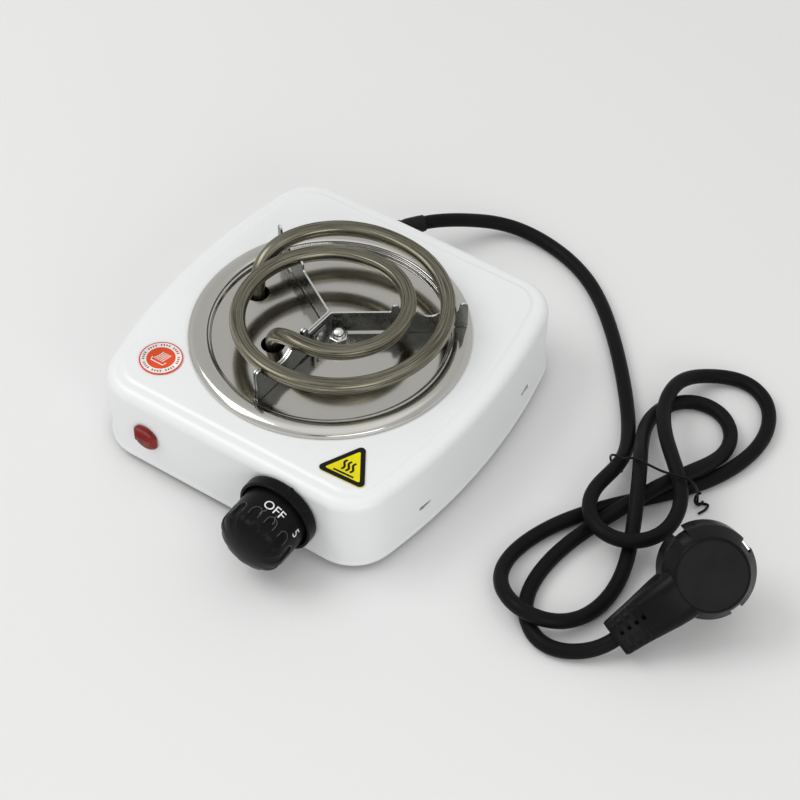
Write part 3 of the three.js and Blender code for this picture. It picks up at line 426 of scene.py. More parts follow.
def moulded(name, colour, low, high, shine=0.45, grain=900):
    """Plastic or rubber: a slightly uneven colour and gloss, over a fine moulded grain."""
    darker = tuple(c * 0.8 for c in colour)
    lighter = tuple(min(1, c * 1.2) for c in colour)
    n, where = finish(name, darker, lighter, 45, low, high, 120, Specular_IOR_Level=shine)
    n.bump(n.noise(where, grain, 2.0), 0.00004, 0.35)
    return n.material


def paper():
    n = Nodes("floor_paper")
    where = n.place()
    n.set(
        Base_Color=n.ramp(n.noise(where, 3, 1.0), (0.805, 0.805, 0.8), (0.815, 0.815, 0.81)),
        Roughness=n.ramp(n.noise(where, 60), 0.75, 0.9),
        Specular_IOR_Level=0.1,
    )
    n.bump(n.noise(where, 400, 2.0), 0.00002, 0.1)
    return n.material


def lens_plastic():
    n, where = finish(
        "red_lens", (0.11, 0.002, 0.0015), (0.32, 0.009, 0.004), 220, 0.06, 0.12, 200,
        Transmission_Weight=0.15, IOR=1.49, Specular_IOR_Level=0.3, Coat_Weight=0.1, Coat_Roughness=0.04,
    )
    n.bump(n.noise(where, 300, 1.0), 0.00002, 0.2)
    return n.material


# Colour and roughness from and to, and where they differ from the usual, the shine and the grain's scale.
MOULDED = {
    "black_plastic": ((0.006, 0.006, 0.006), 0.26, 0.38, 0.09),
    "black_rubber": ((0.009, 0.009, 0.009), 0.5, 0.65, 0.15),
    "cord_jacket": ((0.007, 0.007, 0.007), 0.36, 0.5, 0.07, 500),
    "lamp_glass": ((0.7, 0.75, 0.76), 0.05, 0.1),
    "warning_film": ((0.82, 0.72, 0.004), 0.3, 0.4, 0.2),
    "caution_film": ((0.72, 0.075, 0.018), 0.3, 0.4, 0.2),
    "ceramic": ((0.75, 0.71, 0.62), 0.6, 0.75),
    "brass": ((0.6, 0.42, 0.12), 0.25, 0.4),
    "wire_brown": ((0.11, 0.045, 0.025), 0.45, 0.6),
    "wire_blue": ((0.02, 0.09, 0.35), 0.45, 0.6),
    "wire_earth": ((0.2, 0.42, 0.05), 0.45, 0.6),
    "wire_sleeve": ((0.72, 0.7, 0.62), 0.7, 0.85),
}
FINISHES = {name: moulded(name, *given) for name, given in MOULDED.items()}
FINISHES |= {
    "enamel": enamel(),
    "plated_steel": plated_steel(),
    "pan_steel": pan_steel(),
    "pin_nickel": bright_steel(),
    "coil_sheath": coil_sheath(),
    "red_lens": lens_plastic(),
}
FINISHES["brass"].node_tree.nodes["Principled BSDF"].inputs["Metallic"].default_value = 1.0
WHITE_INK = moulded("white_ink", (0.82, 0.82, 0.8), 0.4, 0.5)
GREY_PRINT_AND_HIGHLIGHT = moulded("grey_print_and_painted_highlight", (0.11, 0.11, 0.108), 0.4, 0.5, shine=0.2)
BLACK_INK = moulded("black_ink", (0.008, 0.008, 0.008), 0.35, 0.45, shine=0.15)
RED_INK = moulded("red_ink", (0.3, 0.035, 0.02), 0.35, 0.45, shine=0.2)
STRIP_STEEL = strip_steel()
FLOOR_PAPER = paper()

SLOT_OF_NODE = {entry["node"]: entry["material_slot"] for entry in frame["record"]["subparts"]}

# ---- shapes


def unit(v):
    return v / np.linalg.norm(v)


def pointing(degrees):
    return np.array([math.cos(math.radians(degrees)), math.sin(math.radians(degrees))])


def directions(points):
    """The unit tangent of a line at each of its points."""
    tangents = np.gradient(points, axis=0)
    return tangents / np.linalg.norm(tangents, axis=1)[:, None]


def arc(x, y, radius, start, end, steps):
    """Points on an arc, angles in degrees."""
    angles = np.radians(np.linspace(start, end, steps + 1))
    return [(x + radius * math.cos(t), y + radius * math.sin(t)) for t in angles]


def circle(radius, count, x=0, y=0):
    angles = [TAU * i / count for i in range(count)]
    return [(x + radius * math.cos(t), y + radius * math.sin(t)) for t in angles]


def bezier(a, b, c, steps=6):
    """Points on a quadratic curve from a to c, pulled towards b."""
    a, b, c = (np.array(p, float) for p in (a, b, c))
    spots = np.linspace(0, 1, steps + 1)
    return [tuple((1 - t) ** 2 * a + 2 * t * (1 - t) * b + t * t * c) for t in spots]


def rounded(points, radius, steps=4, closed=False):
    """A profile with each corner replaced by a small curve."""
    points = [np.array(p, float) for p in points]
    count = len(points)
    out = []
    for i, p in enumerate(points):
        if not closed and i in (0, count - 1):
            out.append(tuple(p))
            continue
        before, after = points[i - 1], points[(i + 1) % count]
        back, ahead = np.linalg.norm(before - p), np.linalg.norm(after - p)
        reach = min(radius, 0.45 * back, 0.45 * ahead)
        out += bezier(p + (before - p) / back * reach, p, p + (after - p) / ahead * reach, steps)
    return out


def finish_piece(
    name, bm, slot_name, replaces=(), place=APPLIANCE, body="appliance",
    material=None, sharp=32, weighted=True,
):
    """Makes a closed mesh drawn in millimetres into a named piece on a body, in place and in metres."""
    if not bm.faces:
        raise ValueError(name + " has no faces")
    bmesh.ops.remove_doubles(bm, verts=bm.verts, dist=1e-4)
    bmesh.ops.recalc_face_normals(bm, faces=bm.faces)
    mesh = mesh_of(bm, name)
    mesh.transform(place)
    mesh.shade_smooth()
    mesh.set_sharp_from_angle(angle=math.radians(sharp))
    piece = add_object(name, mesh)
    piece.data.materials.append(material or FINISHES[slot_name])
    if weighted:
        piece.modifiers.new("even_shading", "WEIGHTED_NORMAL").keep_sharp = True
    settle(piece, body, replaces)
    return piece


def settle(piece, body, replaces=()):
    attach(piece, body)
    if replaces:
        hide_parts(*replaces)


def skin(bm, rings, looped=False, flow=None):
    """Faces between rings of points. The last ring meets the first, or both are capped.
    flow gives each ring's distance along the piece, for a UV map that runs along and round it."""
    count = len(rings[0])
    verts = [[bm.verts.new(p) for p in ring] for ring in rings]
    layer = bm.loops.layers.uv.verify() if flow is not None else None
    spans = len(rings) if looped else len(rings) - 1
    for k in range(spans):
        low, high = verts[k], verts[(k + 1) % len(rings)]
        for i in range(count):
            j = (i + 1) % count
            face = bm.faces.new((low[i], low[j], high[j], high[i]))
            if layer is not None:
                corners = [(flow[k], i), (flow[k], i + 1), (flow[k + 1], i + 1), (flow[k + 1], i)]
                for loop, (along, round_) in zip(face.loops, corners):
                    loop[layer].uv = (along, round_ / count)
    if not looped:
        bm.faces.new(reversed(verts[0]))
        bm.faces.new(verts[-1])
    return verts


def lathe(profile, sides=96, centre=(0, 0), bm=None):
    """A solid of revolution about Z. The profile starts and ends on the axis, or else closes on itself."""
    bm = bm or bmesh.new()
    looped = profile[0][0] > 1e-6
    rings = [[(x, y, z) for x, y in circle(r, sides, *centre)] for r, z in profile]
    if looped:
        skin(bm, rings, looped=True)
        return bm
    tips = [bm.verts.new((*centre, profile[0][1])), bm.verts.new((*centre, profile[-1][1]))]
    verts = [[bm.verts.new(p) for p in ring] for ring in rings[1:-1]]
    for i in range(sides):
        j = (i + 1) % sides
        bm.faces.new((tips[0], verts[0][j], verts[0][i]))
        bm.faces.new((tips[1], verts[-1][i], verts[-1][j]))
        for low, high in zip(verts, verts[1:]):
            bm.faces.new((low[i], low[j], high[j], high[i]))
    return bm


def tube_along(points, section, bm=None):
    """A solid along a line of points, with section(tangent) as each ring's outline in (side, up) pairs."""
    points = np.array(points, float)
    tangents = directions(points)
    middle_index = len(points) // 2
    ups = [None] * len(points)
    ups[middle_index] = np.array((0.0, 0.0, 1.0))
    for order in (range(middle_index + 1, len(points)), range(middle_index - 1, -1, -1)):
        last = ups[middle_index]
        for k in order:
            last = unit(last - tangents[k] * np.dot(last, tangents[k]))
            ups[k] = last
    rings = []
    for p, t, up in zip(points, tangents, ups):
        high = unit(up - t * np.dot(up, t))
        side = np.cross(t, high)
        rings.append([p + side * a + high * b for a, b in section(t)])
    steps = np.linalg.norm(np.diff(points, axis=0), axis=1)
    flow = np.concatenate([[0], np.cumsum(steps)]) * MM
    bm = bm or bmesh.new()
    skin(bm, rings, flow=list(flow))
    return bm


def prism(bm, outline, z0, z1):
    """A flat plate with this outline."""
    low = [bm.verts.new((x, y, z0)) for x, y in outline]
    high = [bm.verts.new((x, y, z1)) for x, y in outline]
    bm.faces.new(reversed(low))
    bm.faces.new(high)
    count = len(outline)
    for i in range(count):
        j = (i + 1) % count
        bm.faces.new((low[i], low[j], high[j], high[i]))
    return bm


def block(bm, low, high):
    """A box from its lowest corner to its highest."""
    outline = [(low[0], low[1]), (high[0], low[1]), (high[0], high[1]), (low[0], high[1])]
    return prism(bm, outline, low[2], high[2])


def soften(bm, width, segments=2, angle=40):
    """Rounds the edges that are sharper than an angle."""
    bmesh.ops.remove_doubles(bm, verts=bm.verts, dist=1e-4)
    bmesh.ops.recalc_face_normals(bm, faces=bm.faces)
    limit = math.radians(angle)
    edges = [e for e in bm.edges if len(e.link_faces) == 2 and e.calc_face_angle(0) > limit]
    bmesh.ops.bevel(
        bm, geom=edges, offset=width, segments=segments, profile=0.5, affect="EDGES", clamp_overlap=True
    )
    return bm


def carved(bm, *tools, operation="DIFFERENCE"):
    """The mesh with the tools' meshes cut out of it, or joined to it."""
    made = []

    def temporary(source):
        bmesh.ops.recalc_face_normals(source, faces=source.faces)
        made.append(add_object("temporary", mesh_of(source, "temporary")))
        return made[-1]

    target = temporary(bm)
    for tool in tools:
        modifier = target.modifiers.new("cut", "BOOLEAN")
        modifier.operation = operation
        modifier.solver = "EXACT"
        modifier.object = temporary(tool)
    bpy.context.view_layer.update()
    evaluated = target.evaluated_get(bpy.context.evaluated_depsgraph_get())
    result = bmesh.new()
    result.from_mesh(evaluated.to_mesh())
    evaluated.to_mesh_clear()
    for obj in made:
        mesh = obj.data
        bpy.data.objects.remove(obj)
        bpy.data.meshes.remove(mesh)
    return result


# ---- housing

side_radius = ((DEPTH / 2) ** 2 + SIDE_BULGE**2) / (2 * SIDE_BULGE)
side_centre = WIDTH / 2 - side_radius
corner_y = DEPTH / 2 - CORNER
corner_x = side_centre + math.sqrt((side_radius - CORNER) ** 2 - corner_y**2)
corner_turn = math.atan2(corner_y, corner_x - side_centre)


def housing_outline(inset):
    """The housing's outline moved in by a distance: straight front and back, bowed sides, round corners."""
    quarter = []
    for t in np.linspace(0, corner_turn, 31):
        r = side_radius - inset
        quarter.append((side_centre + r * math.cos(t), r * math.sin(t)))
    for t in np.linspace(corner_turn, math.pi / 2, 15)[1:]:
        r = CORNER - inset
        quarter.append((corner_x + r * math.cos(t), corner_y + r * math.sin(t)))
    quarter += [(corner_x * (1 - i / 10), DEPTH / 2 - inset) for i in range(1, 11)]
    half = quarter + [(-x, y) for x, y in reversed(quarter[:-1])]
    return half + [(x, -y) for x, y in reversed(half[1:-1])]


def towards_outline(radius):
    """A circle with a point in the direction of each point of the outline."""
    return [tuple(radius * unit(np.array(p))) for p in housing_outline(SHOULDER)]


def level(flat, z):
    return [(x, y, z) for x, y in flat]


def housing_skin(thickness):
    """Rings up the housing's outer face, or up its inner one where a thickness is given."""
    top = HEIGHT - RISE - thickness
    rings = []
    if thickness == 0:
        rings += [level(housing_outline(-HEM), z) for z in (0, 0.25, 1.3)]
        rings += [level(housing_outline(-HEM * 0.6), 1.7), level(housing_outline(0), 2.2)]
    else:
        rings.append(level(housing_outline(thickness), 0))
    rings += [level(housing_outline(thickness), z) for z in (4.5, 10, 20, 28)]
    edge = TOP_EDGE - thickness
    for t in np.radians(np.linspace(0, 90, 11)):
        inset = thickness + edge * (1 - math.cos(t))
        rings.append(level(housing_outline(inset), top - edge * (1 - math.sin(t))))
    for s in np.linspace(0, 1, 7):
        rise = RISE * (3 * s * s - 2 * s**3)
        rings.append(level(housing_outline(SHOULDER - 0.4 + 2.2 * s), top + rise))
    if thickness == 0:
        rings.append(level(towards_outline(PAN_HOLE + 1), HEIGHT))
    rings.append(level(towards_outline(PAN_HOLE), HEIGHT - thickness))
    return rings


def add_housing():
    bm = bmesh.new()
    skin(bm, housing_skin(0) + housing_skin(SHEET)[::-1], looped=True)
    tools = []
    for x, z, radius, wall in (
        (knob_axis.x, knob_axis.z, 5.0, FRONT),
        (lens_axis.x, lens_axis.z, 5.2, FRONT),
        (tail_axis.x, tail_axis.z, 5.6, BACK),
    ):
        hole = lathe([(0, -4), (radius, -4), (radius, 4), (0, 4)], 48)
        hole.transform(Matrix.Translation((x, wall, z)) @ OUT_OF_FRONT)
        tools.append(hole)
    hooks = bmesh.new()
    for side in (1, -1):
        for end in (1, -1):
            x0, x1 = sorted((side * 60, side * 90))
            y, z = end * SIDE_SLOT["y"], SIDE_SLOT["z"]
            block(hooks, (x0, y - 3.5, z - 0.9), (x1, y + 3.5, z + 0.9))
    tools.append(hooks)
    finish_piece("enamelled_housing", carved(bm, *tools), "enamel", ["top_housing"], sharp=50)


# ---- drip pan


def add_pan():
    floor, edge = PAN_FLOOR, PAN_FLOOR_EDGE
    rolled = [(PAN_RIM, HEIGHT + GAP), (62.4, 40.9), (60.4, PAN_TOP - 0.3), (57.5, PAN_TOP), (54.8, 42.45)]
    stepped = [(53.8, 42.1), (53.55, floor + 1.9), (52.6, floor + 1.6), (edge, floor), (edge - 4, floor)]
    under = [
        (53.0, floor - SHEET), (53.4, floor + 0.6), (54.4, floor + 0.9), (54.9, PAN_TOP - 1.2),
        (57.5, PAN_TOP - SHEET), (59.9, PAN_TOP - 1.6), (61.3, HEIGHT + GAP),
    ]
    flat = [(20.0, floor), (0, floor), (0, floor - SHEET), (20.0, floor - SHEET)]
    bm = lathe(rounded(rolled, 1.4, 5) + rounded(stepped, 0.35, 3) + flat + rounded(under, 0.5, 3), 200)
    tools = [lathe([(0, 30), (5.4, 30), (5.4, 45), (0, 45)], 48, place) for place in (COIL_INNER, COIL_OUTER)]
    tools.append(lathe([(0, 30), (2.4, 30), (2.4, 45), (0, 45)], 32, hub_place))
    finish_piece("bright_drip_pan", carved(bm, *tools), "pan_steel", ["drip_pan"], sharp=60)


# ---- heating coil


def smooth_line(points, samples):
    """A centripetal Catmull-Rom curve through the points."""
    points = np.array(points, float)
    padded = np.vstack([2 * points[0] - points[1], points, 2 * points[-1] - points[-2]])
    out = []
    spans = len(points) - 1
    for s in np.linspace(0, spans, samples):
        k = min(int(s), spans - 1)
        w = s - k
        a, b, c, d = padded[k : k + 4]
        d0, d1, d2 = (math.sqrt(np.linalg.norm(q - p)) for p, q in ((a, b), (b, c), (c, d)))
        m1 = ((b - a) / d0 - (c - a) / (d0 + d1) + (c - b) / d1) * d1
        m2 = ((c - b) / d1 - (d - b) / (d1 + d2) + (d - c) / d2) * d1
        blend = 3 * w**2 - 2 * w**3
        out.append((1 - blend) * b + (w**3 - 2 * w**2 + w) * m1 + blend * c + (w**3 - w**2) * m2)
    return np.array(out)


# Half turns of the spiral: centre, radius, and the angles between which each runs.
HALF_TURNS = [(2.0, 5.5, 29.5, -90, 90), (2.0, -4.2, 39.2, 90, 270), (2.5, 3.9, 47.3, 270, 450)]


def coil_points():
    x, y = COIL_INNER
    points = [
        (x, y, COIL_SEALED_END), (x, y, 35), (x + 0.5, y - 0.3, 42), (x + 4.2, y - 1.8, 48.6),
        (x + 11, y - 3.3, COIL_LEVEL - 1.4),
    ]
    for k, (cx, cy, r, start, end) in enumerate(HALF_TURNS):
        turn = arc(cx, cy, r, start, end, 10)
        points += level(turn[1:] if k else turn, COIL_LEVEL)
    points += [
        (-13, 49.3, COIL_LEVEL), (-27, 42.5, COIL_LEVEL), (-37.5, 31, COIL_LEVEL),
        (-42.6, 18, COIL_LEVEL - 0.8), (-43.4, 8, COIL_LEVEL - 5.5), (-41.7, 2.8, COIL_LEVEL - 12.5),
        (*COIL_OUTER, 34), (*COIL_OUTER, COIL_SEALED_END),
    ]
    return points


coil_line = smooth_line(coil_points(), 1200)


def add_coil():
    round_angles = [TAU * i / 32 for i in range(32)]
    flat_from = 0.72 * TUBE

    def section(tangent):
        flat = max(0.0, 1 - 3 * abs(tangent[2]))
        out = []
        for a in round_angles:
            side, high = TUBE * math.cos(a), TUBE * math.sin(a)
            if high > flat_from:
                high -= flat * 0.8 * (high - flat_from)
            out.append((side, high))
        return out

    bm = tube_along(coil_line[::2], section)
    finish_piece("coiled_element", bm, "coil_sheath", ["heating_coil"], sharp=60, weighted=False)


# ---- coil support


def crossings(degrees):
    """Where the coil's level turns pass over an arm, as (distance from the axis, height)."""
    along = np.append(pointing(degrees), 0)
    across = np.array([-along[1], along[0], 0])
    found = []
    for p, q in zip(coil_line, coil_line[1:]):
        if p[2] > COIL_LEVEL - 4 and p @ along > 0 and (p @ across) * (q @ across) <= 0:
            found.append((p @ along, p[2]))
    return sorted(found)


def arm_profile(degrees):
    """An arm from the side: a slim bar, a horn, a saddle under each turn and a tab outside the last."""
    (inner, inner_z), (outer, outer_z) = crossings(degrees)
    saddle = TUBE + 0.7
    lip = 32
    tab = outer + saddle + 0.2
    rest = PAN_TOP + GAP if tab + 3.6 > PAN_FLOOR_EDGE else STRIP_LOW
    open_r = inner + saddle * math.cos(math.radians(lip))
    open_z = inner_z - saddle * math.sin(math.radians(lip))
    horn = inner - saddle - 1.8
    profile = bezier((inner - 3, STRIP_BOTTOM), (inner, STRIP_LOW), (inner + 2, STRIP_LOW))
    profile += bezier((outer - 7, STRIP_LOW), (outer - 5, STRIP_LOW), (outer - 4, rest + 0.01))
    profile += [(tab + 3.6, rest)]
    profile += arc(tab + 1.8, COIL_LEVEL + 1, 1.8, 0, 180, 8)
    profile += arc(outer, outer_z, saddle, 0, -(180 - lip), 14)
    profile += bezier(profile.pop(), ((inner + outer) / 2, STRIP_TOP - 5.5), (open_r, open_z), 8)[:-1]
    profile += arc(inner, inner_z, saddle, -lip, -180, 14)
    profile += arc(horn, COIL_LEVEL + 0.4, 1.6, 0, 180, 8)
    profile += bezier((horn - 1.6, STRIP_TOP + 1.2), (horn - 1.6, STRIP_TOP), (horn - 3, STRIP_TOP), 3)
    return profile


front_axis = pointing(ARM_FRONT)
front_side = np.array([-front_axis[1], front_axis[0]])
HALF_PAIR = (STRIP + GAP) / 2
FOLD = 1.3  # half the length of the bend at the hub


def add_strip(name, node, rear_degrees, side):
    """One sheet, cut out flat with two arms end to end, then bent at the hub."""
    rear = arm_profile(rear_degrees)
    front = [(-r, z) for r, z in reversed(arm_profile(ARM_FRONT))]
    outline = rear + front
    start = front_side * side * HALF_PAIR
    rear_axis = pointing(rear_degrees)
    bm = bmesh.new()
    prism(bm, outline, -STRIP / 2, STRIP / 2)
    for cut_at in np.linspace(-FOLD, FOLD, 9):
        geom = bm.verts[:] + bm.edges[:] + bm.faces[:]
        bmesh.ops.bisect_plane(bm, geom=geom, plane_co=(cut_at, 0, 0), plane_no=(1, 0, 0))
    soften(bm, 0.14, 2, 60)
    for v in bm.verts:
        s, z, t = v.co
        if s <= -FOLD:
            spot, heading = start + front_axis * -s, -front_axis
        elif s >= FOLD:
            spot, heading = start + rear_axis * s, rear_axis
        else:
            u = (s + FOLD) / (2 * FOLD)
            spot = start + front_axis * FOLD * (1 - u) ** 2 + rear_axis * FOLD * u * u
            heading = unit(-front_axis * (1 - u) + rear_axis * u)
        v.co = (spot[0] + heading[1] * t, spot[1] - heading[0] * t, z)
    finish_piece(name, bm, "plated_steel", [node], material=STRIP_STEEL, sharp=40)


def add_hub():
    bm = prism(bmesh.new(), circle(4.6, 6, *hub_place), NUT_Z, NUT_Z + 3.6)
    soften(bm, 0.45, 3, 40)
    dome = [(0, NUT_Z + 3.3), (3.5, NUT_Z + 3.3)] + arc(0, NUT_Z + 3.5, 3.5, 0, 88, 14) + [(0, NUT_Z + 7.0)]
    lathe(dome, 40, hub_place, bm=bm)
    finish_piece("domed_hub_nut", bm, "pin_nickel", ["hub_nut"], sharp=50)
    top = WASHER_Z + WASHER
    ring = rounded([(2.4, WASHER_Z), (4.9, WASHER_Z), (4.9, top), (2.4, top)], 0.25, 3, closed=True)
    finish_piece("bright_washer", lathe(ring, 56, hub_place), "pin_nickel", ["hub_washer"], sharp=50)


# ---- knob


def add_bezel():
    outside = [(4.6, GAP), (BEZEL_RADIUS - 1.0, GAP), (BEZEL_RADIUS, 1.4), (BEZEL_RADIUS, BEZEL_DEPTH)]
    inside = [(BEZEL_RADIUS - 1.6, BEZEL_DEPTH), (BEZEL_RADIUS - 1.9, 2.2), (4.6, 2.2)]
    bm = lathe(rounded(outside + inside, 0.7, 4, closed=True), 120)
    bump = rounded([(0, 1.0), (1.5, 1.0), (1.5, BEZEL_DEPTH + 0.2), (0, BEZEL_DEPTH + 0.2)], 0.5, 4)
    lathe(bump, 28, (BEZEL_RADIUS - 0.6) * pointing(90 - INDEX_HEADING), bm=bm)
    finish_piece("dial_bezel", bm, "black_plastic", ["knob_bezel"], place=KNOB_FRAME, sharp=45)


FLUTES = 12
FLUTE_HALF_WIDTH = 2.2
KNOB_BACK = 3.0
KNOB_TIP = BEZEL_DEPTH + KNOB_GRIP
FLUTE_START = KNOB_TIP - 5.2


def knob_surface(w):
    """The knob's radius at a distance in front of the wall, before the flutes."""
    if w <= KNOB_TIP:
        return KNOB_RADIUS
    rise = min(1.0, (w - KNOB_TIP) / KNOB_DOME)
    return KNOB_RADIUS * math.sqrt(max(0.0, 1 - rise**2.4))


def flute_depth(angle, w):
    """A round-ended groove: how far the surface is pressed in at this place."""
    spacing = TAU / FLUTES
    away = ((angle + spacing / 2) % spacing - spacing / 2) * KNOB_RADIUS
    reach = w - (FLUTE_START + FLUTE_HALF_WIDTH)
    distance = math.hypot(away, min(0.0, reach)) / FLUTE_HALF_WIDTH
    fade = max(0.0, 1 - max(0.0, w - KNOB_TIP) / (KNOB_DOME * 0.9))
    inside = max(0.0, 1 - distance**2)
    return 0.95 * min(1.0, 1.9 * inside) ** 1.2 * fade


def add_knob():
    sides = 288
    levels = [KNOB_BACK + 0.5, KNOB_BACK + 1.0]
    levels += list(np.linspace(KNOB_BACK + 1.6, FLUTE_START - 0.4, 14))
    levels += list(np.linspace(FLUTE_START, KNOB_TIP, 20))
    levels += [KNOB_TIP + KNOB_DOME * math.sin(t) for t in np.radians(np.linspace(3, 88, 24))]
    bm = bmesh.new()
    rings = [level(circle(KNOB_RADIUS - 0.5, sides), KNOB_BACK)]
    for w in levels:
        ring = []
        for i in range(sides):
            a = TAU * i / sides
            r = knob_surface(w) - flute_depth(a, w)
            ring.append((r * math.cos(a), r * math.sin(a), w))
        rings.append(ring)
    skin(bm, rings)
    bore = lathe([(0, 0), (3.3, 0), (3.3, 16.3), (0, 16.3)], 32)
    finish_piece(
        "fluted_knob", carved(bm, bore), "black_plastic", ["knob"], place=KNOB_FRAME, body="dial",
        sharp=40, weighted=False,
    )


INK = 0.05  # how far print stands above the surface


def print_on_knob(name, text, size, heading, near, material):
    """Raised lettering round the knob, at degrees clockwise from the top. near is its end by the wall."""
    curve = bpy.data.curves.new(name, "FONT")
    curve.body = text
    curve.size = size
    curve.align_x = "CENTER"
    curve.align_y = "TOP"
    curve.extrude = INK / 2
    curve.resolution_u = 3
    source = add_object(name, curve)
    bpy.context.view_layer.update()
    mesh = bpy.data.meshes.new_from_object(source.evaluated_get(bpy.context.evaluated_depsgraph_get()))
    bpy.data.objects.remove(source)
    bpy.data.curves.remove(curve)
    bm = bmesh.new()
    bm.from_mesh(mesh)
    bpy.data.meshes.remove(mesh)
    bend_round_knob(bm.verts, heading, near)
    finish_piece(
        name, bm, "black_plastic", place=KNOB_FRAME, body="dial", material=material, weighted=False
    )


def bend_round_knob(verts, heading, near):
    """Wraps a flat drawing, x to the right and y towards the wall, onto the knob."""
    for v in verts:
        x, y, lift = v.co
        a = math.pi / 2 - math.radians(heading) - x / KNOB_RADIUS
        r = KNOB_RADIUS + INK / 2 + lift
        v.co = (r * math.cos(a), r * math.sin(a), near - y)


def ribbon(bm, points, width, z):
    """A flat stroke of a width along a line, for print and for painted highlights."""
    points = np.array(points, float)
    tangents = directions(points)
    sides = np.stack([-tangents[:, 1], tangents[:, 0]], axis=1) * width / 2
    outline = [tuple(p) for p in points + sides] + [tuple(p) for p in (points - sides)[::-1]]
    return prism(bm, outline, z, z + INK)


def add_knob_print_and_highlights():
    near = BEZEL_DEPTH + 2.0
    print_on_knob("dial_off", "OFF", 6.0, INDEX_HEADING, near + 1, WHITE_INK)
    for number, heading in zip("12345", (-78, -130, -182, -234, -286)):
        print_on_knob(f"dial_{number}", number, 6.0, heading, near, WHITE_INK)
    bm = bmesh.new()
    # Leader lines forward from OFF: print, and in part a painted reflection of the flutes' edges.
    for side in (-1, 1):
        leader = [(side * 2.4, -5.4), (side * 2.4, -7.0), (side * 3.4, -8.2), (side * 3.4, -10.0)]
        ribbon(bm, leader, 0.3, 0)
    bend_round_knob(bm.verts, INDEX_HEADING, near)
    # A grey U round the mouth of each flute: a painted highlight on the flute's edge.
    mouth = near - FLUTE_START - FLUTE_HALF_WIDTH
    edge = FLUTE_HALF_WIDTH + 0.2
    bow = [(edge, mouth - 2.6)] + arc(0, mouth, edge, 0, 180, 14) + [(-edge, mouth - 2.6)]
    for k in range(FLUTES):
        drawn = len(bm.verts)
        ribbon(bm, bow, 0.22, 0)
        bend_round_knob(list(bm.verts)[drawn:], 360 * k / FLUTES, near)
    finish_piece(
        "dial_leaders_and_flute_highlights", bm, "black_plastic", place=KNOB_FRAME, body="dial", material=GREY_PRINT_AND_HIGHLIGHT,
        weighted=False,
    )


# ---- indicator lens


def add_lens():
    outline = [(max(-6.2, min(6.2, x)), y) for x, y in circle(LENS_RADIUS, 96)]
    levels = [(1.0, GAP), (1.0, 1.0), (0.93, 1.5), (0.86, 1.8)]
    rings = [[(x * s, y * s, z) for x, y in outline] for s, z in levels]
    bm = bmesh.new()
    skin(bm, rings)
    block(bm, (-5.4, -3.9, 1.2), (5.4, 3.9, 3.3))
    for v in bm.verts:
        if v.co.z > 3.1:
            v.co.x *= 0.74
            v.co.y *= 0.3
    soften(bm, 0.12, 2, 20)
    lathe([(0, -9), (4.8, -9), (4.8, 0.6), (0, 0.6)], 40, bm=bm)
    finish_piece("red_indicator_lens", bm, "red_lens", ["indicator_lens"], place=LENS_FRAME, sharp=20)


# ---- feet


def add_feet():
    for name in ("foot_front_left", "foot_front_right", "foot_back_left", "foot_back_right"):
        place = middle_in_appliance(name)
        pad = [(0, -FOOT), (5.7, -FOOT), (6.5, -FOOT + 0.9), (7.0, -0.4), (7.0, 0.7), (2.9, 0.7)]
        barb = [(2.9, 2.3), (4.4, 2.3), (2.4, 7.0), (0, 7.0)]
        bm = lathe(rounded(pad + barb, 0.5, 3), 56, (place.x, place.y))
        finish_piece("rubber_" + name, bm, "black_rubber", [name], sharp=50)


# ---- labels

TRIANGLE_PLACE = (51.0, -59.5)
TRIANGLE_SIDE = 24.5
TRIANGLE_CORNER = 2.0
TRIANGLE_TURN = 93.0
FILM_Z = HEIGHT + LABEL
FILM_TOP = HEIGHT + 2 * LABEL


def triangle_outline(inset=0.0):
    """A triangle with round corners, its sides moved in by a distance."""
    corner = max(0.6, TRIANGLE_CORNER - inset)
    moved = inset - (TRIANGLE_CORNER - corner)
    reach = TRIANGLE_SIDE / math.sqrt(3) - 2 * TRIANGLE_CORNER - 2 * moved
    points = []
    for k in range(3):
        heading = TRIANGLE_TURN + 120 * k
        centre = np.array(TRIANGLE_PLACE) + reach * pointing(heading)
        points += arc(*centre, corner, heading - 60, heading + 60, 10)
    return points


def printed_frame(outer, inner):
    """A printed frame on a film, between two outlines with the same number of points."""
    low, high = FILM_TOP, FILM_TOP + INK
    bm = bmesh.new()
    skin(bm, [level(outer, low), level(outer, high), level(inner, high), level(inner, low)], looped=True)
    return bm


def add_triangle_label():
    film = prism(bmesh.new(), triangle_outline(), FILM_Z, FILM_TOP)
    finish_piece("hot_surface_film", film, "warning_film", ["hot_surface_label"], sharp=40)
    ink = printed_frame(triangle_outline(0.02), triangle_outline(2.1))
    for k in (-1, 0, 1):
        wave = [(k * 2.1 + 0.65 * math.sin(s * TAU), -2.3 + 5.4 * s) for s in np.linspace(0, 1, 17)]
        ribbon(ink, wave, 1.0, FILM_TOP)
    ribbon(ink, [(-4.9, -3.9), (4.9, -3.9)], 0.9, FILM_TOP)
    turn = Matrix.Rotation(math.radians(TRIANGLE_TURN - 90), 4, "Z")
    centre = Matrix.Translation((*TRIANGLE_PLACE, 0))
    for v in ink.verts:
        if abs(v.co.x) < 8 and abs(v.co.y) < 8:
            v.co = centre @ turn @ v.co
    finish_piece("hot_surface_print", ink, "warning_film", material=BLACK_INK, weighted=False)


